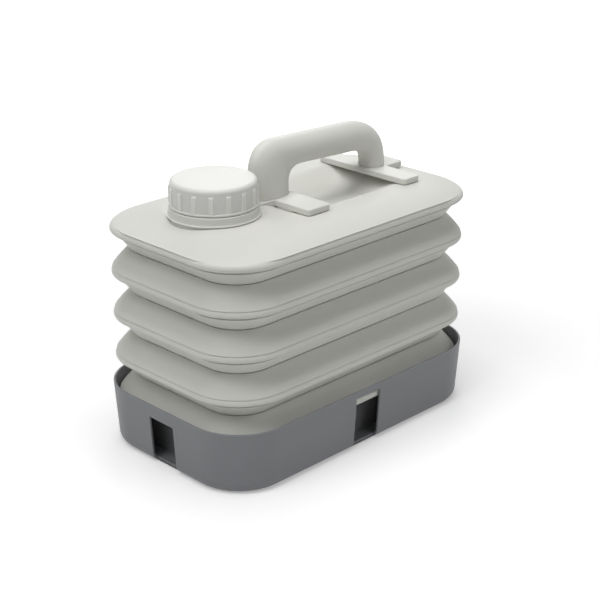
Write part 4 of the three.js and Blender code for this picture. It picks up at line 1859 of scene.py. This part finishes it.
    def build_grip(self) -> None:
        """Builds the grip."""
        outer = self.grip_edge(self.front_leg[0], self.rear_leg[1], 1, self.outer_front, self.outer_rear)
        inner = self.grip_edge(self.front_leg[1], self.rear_leg[0], -1, self.inner_front, self.inner_rear)
        angles = np.linspace(0, 2 * math.pi, self.sides, endpoint=False)
        rings = []
        for outer_point, inner_point in zip(outer, inner):
            middle = (outer_point + inner_point) / 2
            arm = outer_point - middle
            flat = middle + np.cos(angles)[:, None] * arm
            rings.append(np.column_stack([flat[:, 0], -self.half_width * np.sin(angles), flat[:, 1]]))
        piece = skinned("grip_bar", rings)
        self.drilled(piece, (0, 1, 2))
        self.seat(piece, Body.TOP, Slot.RIGID, ["grip"])

    def build_screws(self) -> None:
        """Builds the three screws from one shape."""
        rounds = int((self.screw_length - self.head_height) / self.thread_pitch) - 2
        ridge = self.screw_radius * self.ridge_share
        flank = []
        for turn in range(rounds):
            height = self.head_height + (turn + 1) * self.thread_pitch
            crest = height + self.thread_pitch / 2
            flank += [(self.screw_radius - ridge, height), (self.screw_radius, crest)]
        screw = turned("screw", [
            (PIN_HOLE, self.head_height / 2),
            (self.head_radius / 2, self.head_height / 2),
            (self.head_radius / 2, 0.0),
            (self.head_radius - self.head_edge, 0.0),
            (self.head_radius, self.head_side),
            (self.head_radius, self.head_height),
            *flank,
            (PIN_HOLE, self.screw_length),
        ], 0.0, self.screw_sides)
        places = [
            (place, 0.0, low + CLEARANCE) for place, low in zip(self.screw_places, self.screw_bottoms())
        ]
        points = new_piece("grip_screws", np.array(places), [])
        tree = Tree.maker("Screws")
        where = tree.take("Places", GEOMETRY)
        what = tree.take("Screw", OBJECT)
        material = tree.take("Material", MATERIAL)
        tree.give_mesh(tree.copies(where, what, {}), material)
        tree.run("Screws", {"Screw": screw, "Material": self.materials[Slot.STEEL]}, base=points)
        discard(screw)
        self.seat(points, Body.TOP, Slot.STEEL, ["grip_screw_1", "grip_screw_2", "grip_screw_3"], 30.0)

    def build(self) -> None:
        """Builds the brackets, the grip and the screws."""
        self.build_front_bracket()
        self.build_rear_bracket()
        self.build_grip()
        self.build_screws()


# The tray


@dataclass
class Tray(SubAssembly):
    """The tray: a thin wall round a raised seat, with a slot in the middle of each side."""

    rim: Plan = Plan(155.6, 94.4, 49.5)
    height: float = 56.6
    wall: float = 2.0
    floor: float = 3.0
    draft: float = 3.0
    foot_radius: float = 9.0
    rim_radius: float = 0.6
    seat_gap: float = 17.0
    seat_wall: float = 2.2
    seat_draft: float = 2.0
    seat_corner: float = 34.0
    seat_edge: float = 4.0
    slot_width: float = 30.0
    long_lintel: float = 6.6
    short_lintel: float = 12.1
    slot_notch: float = 8.5
    slot_edge: float = 0.5
    least_edge: float = 50.0
    steps: RingSteps = RingSteps(24)
    round_steps: int = 8

    def outside(self) -> bpy.types.Object:
        """Makes the outside as a closed solid."""
        foot = self.rim.drawn_in(self.draft)
        section = quarter((-self.foot_radius, self.foot_radius), self.foot_radius, 3, self.round_steps)
        radius = self.rim_radius
        edge = quarter((-radius, self.height - radius), radius, 0, EDGE_STEPS)
        rings = section_rings(foot, section, self.steps) + section_rings(self.rim, edge, self.steps)
        return skinned("tray_shell", rings)

    def inside(self) -> bpy.types.Object:
        """Makes the space inside as a closed solid."""
        foot = self.rim.drawn_in(self.draft + self.wall)
        mouth = self.rim.drawn_in(self.wall)
        radius = self.foot_radius - self.wall
        section = quarter((-radius, self.floor + radius), radius, 3, self.round_steps)
        rim = [
            mouth.ring(self.height - self.rim_radius, self.steps),
            mouth.drawn_in(-self.rim_radius / 4).ring(self.height - self.rim_radius / 4, self.steps),
            mouth.drawn_in(-self.rim_radius).ring(self.height, self.steps),
            mouth.drawn_in(-self.rim_radius).ring(self.height + OVERRUN, self.steps),
        ]
        return skinned("cavity", section_rings(foot, section, self.steps) + rim)

    def seat_body(self, name: str, wall: float, low: float) -> bpy.types.Object:
        """Makes the raised seat, or the hollow under it.

        Args:
            name: the object's name.
            wall: 0 for the seat, its wall's thickness for the hollow.
            low: its lowest height.

        Returns:
            The solid.
        """
        reach = self.rim.drawn_in(self.draft + self.wall + self.seat_gap + wall)
        foot = Plan(reach.half_length, reach.half_width, self.seat_corner - wall)
        top = foot.drawn_in(self.seat_draft)
        radius = self.seat_edge - wall
        section = quarter((-radius, HEIGHTS.seat - wall - radius), radius, 0, self.round_steps)
        return skinned(name, [foot.ring(low, self.steps), *section_rings(top, section, self.steps)])

    def slots(self) -> list[bpy.types.Object]:
        """Makes the four solids that cut the slots."""
        half = self.slot_width / 2
        tools = []
        reach = (OVERRUN, -self.slot_notch)
        for side in (-1, 1):
            along = sorted(side * (self.rim.half_length + part) for part in reach)
            across = sorted(side * (self.rim.half_width + part) for part in reach)
            short, long = self.height - self.short_lintel, self.height - self.long_lintel
            tools.append(block("slot", along, (-half, half), (-OVERRUN, short)))
            tools.append(block("slot", (-half, half), across, (-OVERRUN, long)))
        return tools

    def build(self) -> None:
        """Builds the tray."""
        piece = self.outside()
        cavity = self.inside()
        worked(cavity, [self.seat_body("seat", 0.0, 0.0)], Cut.AWAY)
        worked(piece, [cavity, self.seat_body("hollow", self.seat_wall, -OVERRUN), *self.slots()], Cut.AWAY)
        softened(piece, self.slot_edge, self.least_edge, 3)
        self.seat(piece, Body.TRAY, Slot.TRAY, ["tray"], weighted=True)


# The studio


AIM_HEIGHT = 0.12  # where the lamps look, in metres over the ground


@dataclass(frozen=True)
class SoftLamp:
    """A square soft lamp that looks at the middle of the object."""

    name: str
    place: tuple[float, float, float]
    size: float
    power: float

    def build(self) -> None:
        """Hangs the lamp."""
        data = bpy.data.lights.new(self.name, "AREA")
        data.shape = "SQUARE"
        data.size = self.size
        data.energy = self.power
        lamp = placed(self.name, data)
        lamp.location = self.place
        aim = Vector((0, 0, AIM_HEIGHT)) - Vector(self.place)
        lamp.rotation_mode = "QUATERNION"
        lamp.rotation_quaternion = aim.to_track_quat("-Z", "Y")


@dataclass
class Studio:
    """The floor, the world, the lamps and the camera."""

    camera_place: tuple[float, float, float] = (-0.8186, -0.8301, 0.5879)
    azimuth: float = -44.94
    elevation: float = 22.27
    lens: float = 84.794
    sky: float = 0.08
    floor_colour: float = 0.9
    near_glow: float = 0.3
    far_glow: float = 1.0
    glow_run: tuple[float, float] = (0.25, 1.1)
    floor_reach: float = 6.0
    lamps: tuple[SoftLamp, ...] = (
        SoftLamp("lamp_above", (0.0, 0.0, 1.9), 1.0, 14.5),
        SoftLamp("lamp_high", (-0.8, -0.2, 1.75), 0.9, 5.5),
        SoftLamp("lamp_left", (-1.2, 0.1, 1.5), 0.9, 6.5),
        SoftLamp("lamp_front", (0.2, -1.4, 1.1), 0.9, 3.5),
        SoftLamp("lamp_back", (1.2, 1.1, 1.2), 0.9, 4.5),
    )

    def seen_white(self, tree: Tree) -> bpy.types.NodeSocket:
        """Gives 1 where the camera or a reflection looks, and 0 for light on the object."""
        ray = tree.add("ShaderNodeLightPath").outputs
        seen = tree.math("MAXIMUM", ray["Is Camera Ray"], ray["Is Glossy Ray"])
        return tree.math("MAXIMUM", seen, ray["Is Transmission Ray"])

    def build_world(self) -> None:
        """Builds the world: white where it is seen, and a soft even light."""
        world = bpy.data.worlds.new("studio_world")
        tree = Tree.of(world)
        level = tree.mapped(self.seen_white(tree), (0.0, 1.0), (self.sky, 1.0))
        light = tree.add("ShaderNodeBackground", {"Color": WHITE, "Strength": level})
        tree.add("ShaderNodeOutputWorld", {"Surface": light.outputs[0]})
        bpy.context.scene.world = world

    def build_floor(self) -> None:
        """Builds the pale floor, which keeps the object's shadow."""
        reach = self.floor_reach / MM
        floor = new_piece("studio_floor", np.array([
            [-reach, -reach, 0], [reach, -reach, 0], [reach, reach, 0], [-reach, reach, 0],
        ]), [[0, 1, 2, 3]])
        material = bpy.data.materials.new("studio_floor")
        tree = Tree.of(material)
        place = tree.spot()
        grain = tree.add("ShaderNodeTexNoise", {"Vector": place, "Scale": 900.0, "Detail": 2.0})
        bump = tree.add("ShaderNodeBump", {
            "Strength": 0.2,
            "Distance": 0.1 * MM,
            "Height": grain.outputs["Fac"],
        })
        reach_out = tree.add("ShaderNodeVectorMath", {0: place}, operation="LENGTH").outputs["Value"]
        brightening = tree.mapped(reach_out, self.glow_run, (self.near_glow, self.far_glow), smooth=True)
        paper = tree.add("ShaderNodeBsdfDiffuse", {
            "Color": (self.floor_colour, self.floor_colour, self.floor_colour, 1.0),
            "Normal": bump.outputs[0],
        })
        strength = tree.times(self.seen_white(tree), brightening)
        glow = tree.add("ShaderNodeEmission", {"Color": WHITE, "Strength": strength})
        both = tree.add("ShaderNodeAddShader", {0: paper.outputs[0], 1: glow.outputs[0]})
        tree.add("ShaderNodeOutputMaterial", {"Surface": both.outputs[0]})
        floor.data.materials.append(material)

    def build_camera(self) -> None:
        """Sets the camera at the photograph's angle."""
        data = bpy.data.cameras.new("camera")
        data.lens = self.lens
        data.sensor_width = 36.0
        camera = placed("camera", data)
        turn, rise = math.radians(self.azimuth), math.radians(self.elevation)
        back = Vector((
            math.sin(turn) * math.cos(rise),
            -math.cos(turn) * math.cos(rise),
            math.sin(rise),
        ))
        camera.location = self.camera_place
        camera.rotation_mode = "QUATERNION"
        camera.rotation_quaternion = (-back).to_track_quat("-Z", "Y")
        bpy.context.scene.camera = camera

    def build(self) -> None:
        """Builds the whole studio."""
        bpy.context.scene.view_settings.view_transform = "Standard"
        self.build_camera()
        self.build_world()
        self.build_floor()
        for lamp in self.lamps:
            lamp.build()


def main() -> None:
    """Builds the studio and the carrier in order."""
    logging.basicConfig(level=logging.INFO, format="%(name)s: %(message)s")
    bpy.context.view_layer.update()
    Studio().build()
    moulded = moulded_group()
    materials = {slot: finish.material(slot.value, moulded) for slot, finish in FINISHES.items()}
    builders: list[Callable[[Mapping[Slot, bpy.types.Material]], SubAssembly]] = [
        Tray, Bellows, Shoulder, Mouth, Handle,
    ]
    for builder in builders:
        builder(materials).build()


if __name__ == "__main__":
    main()
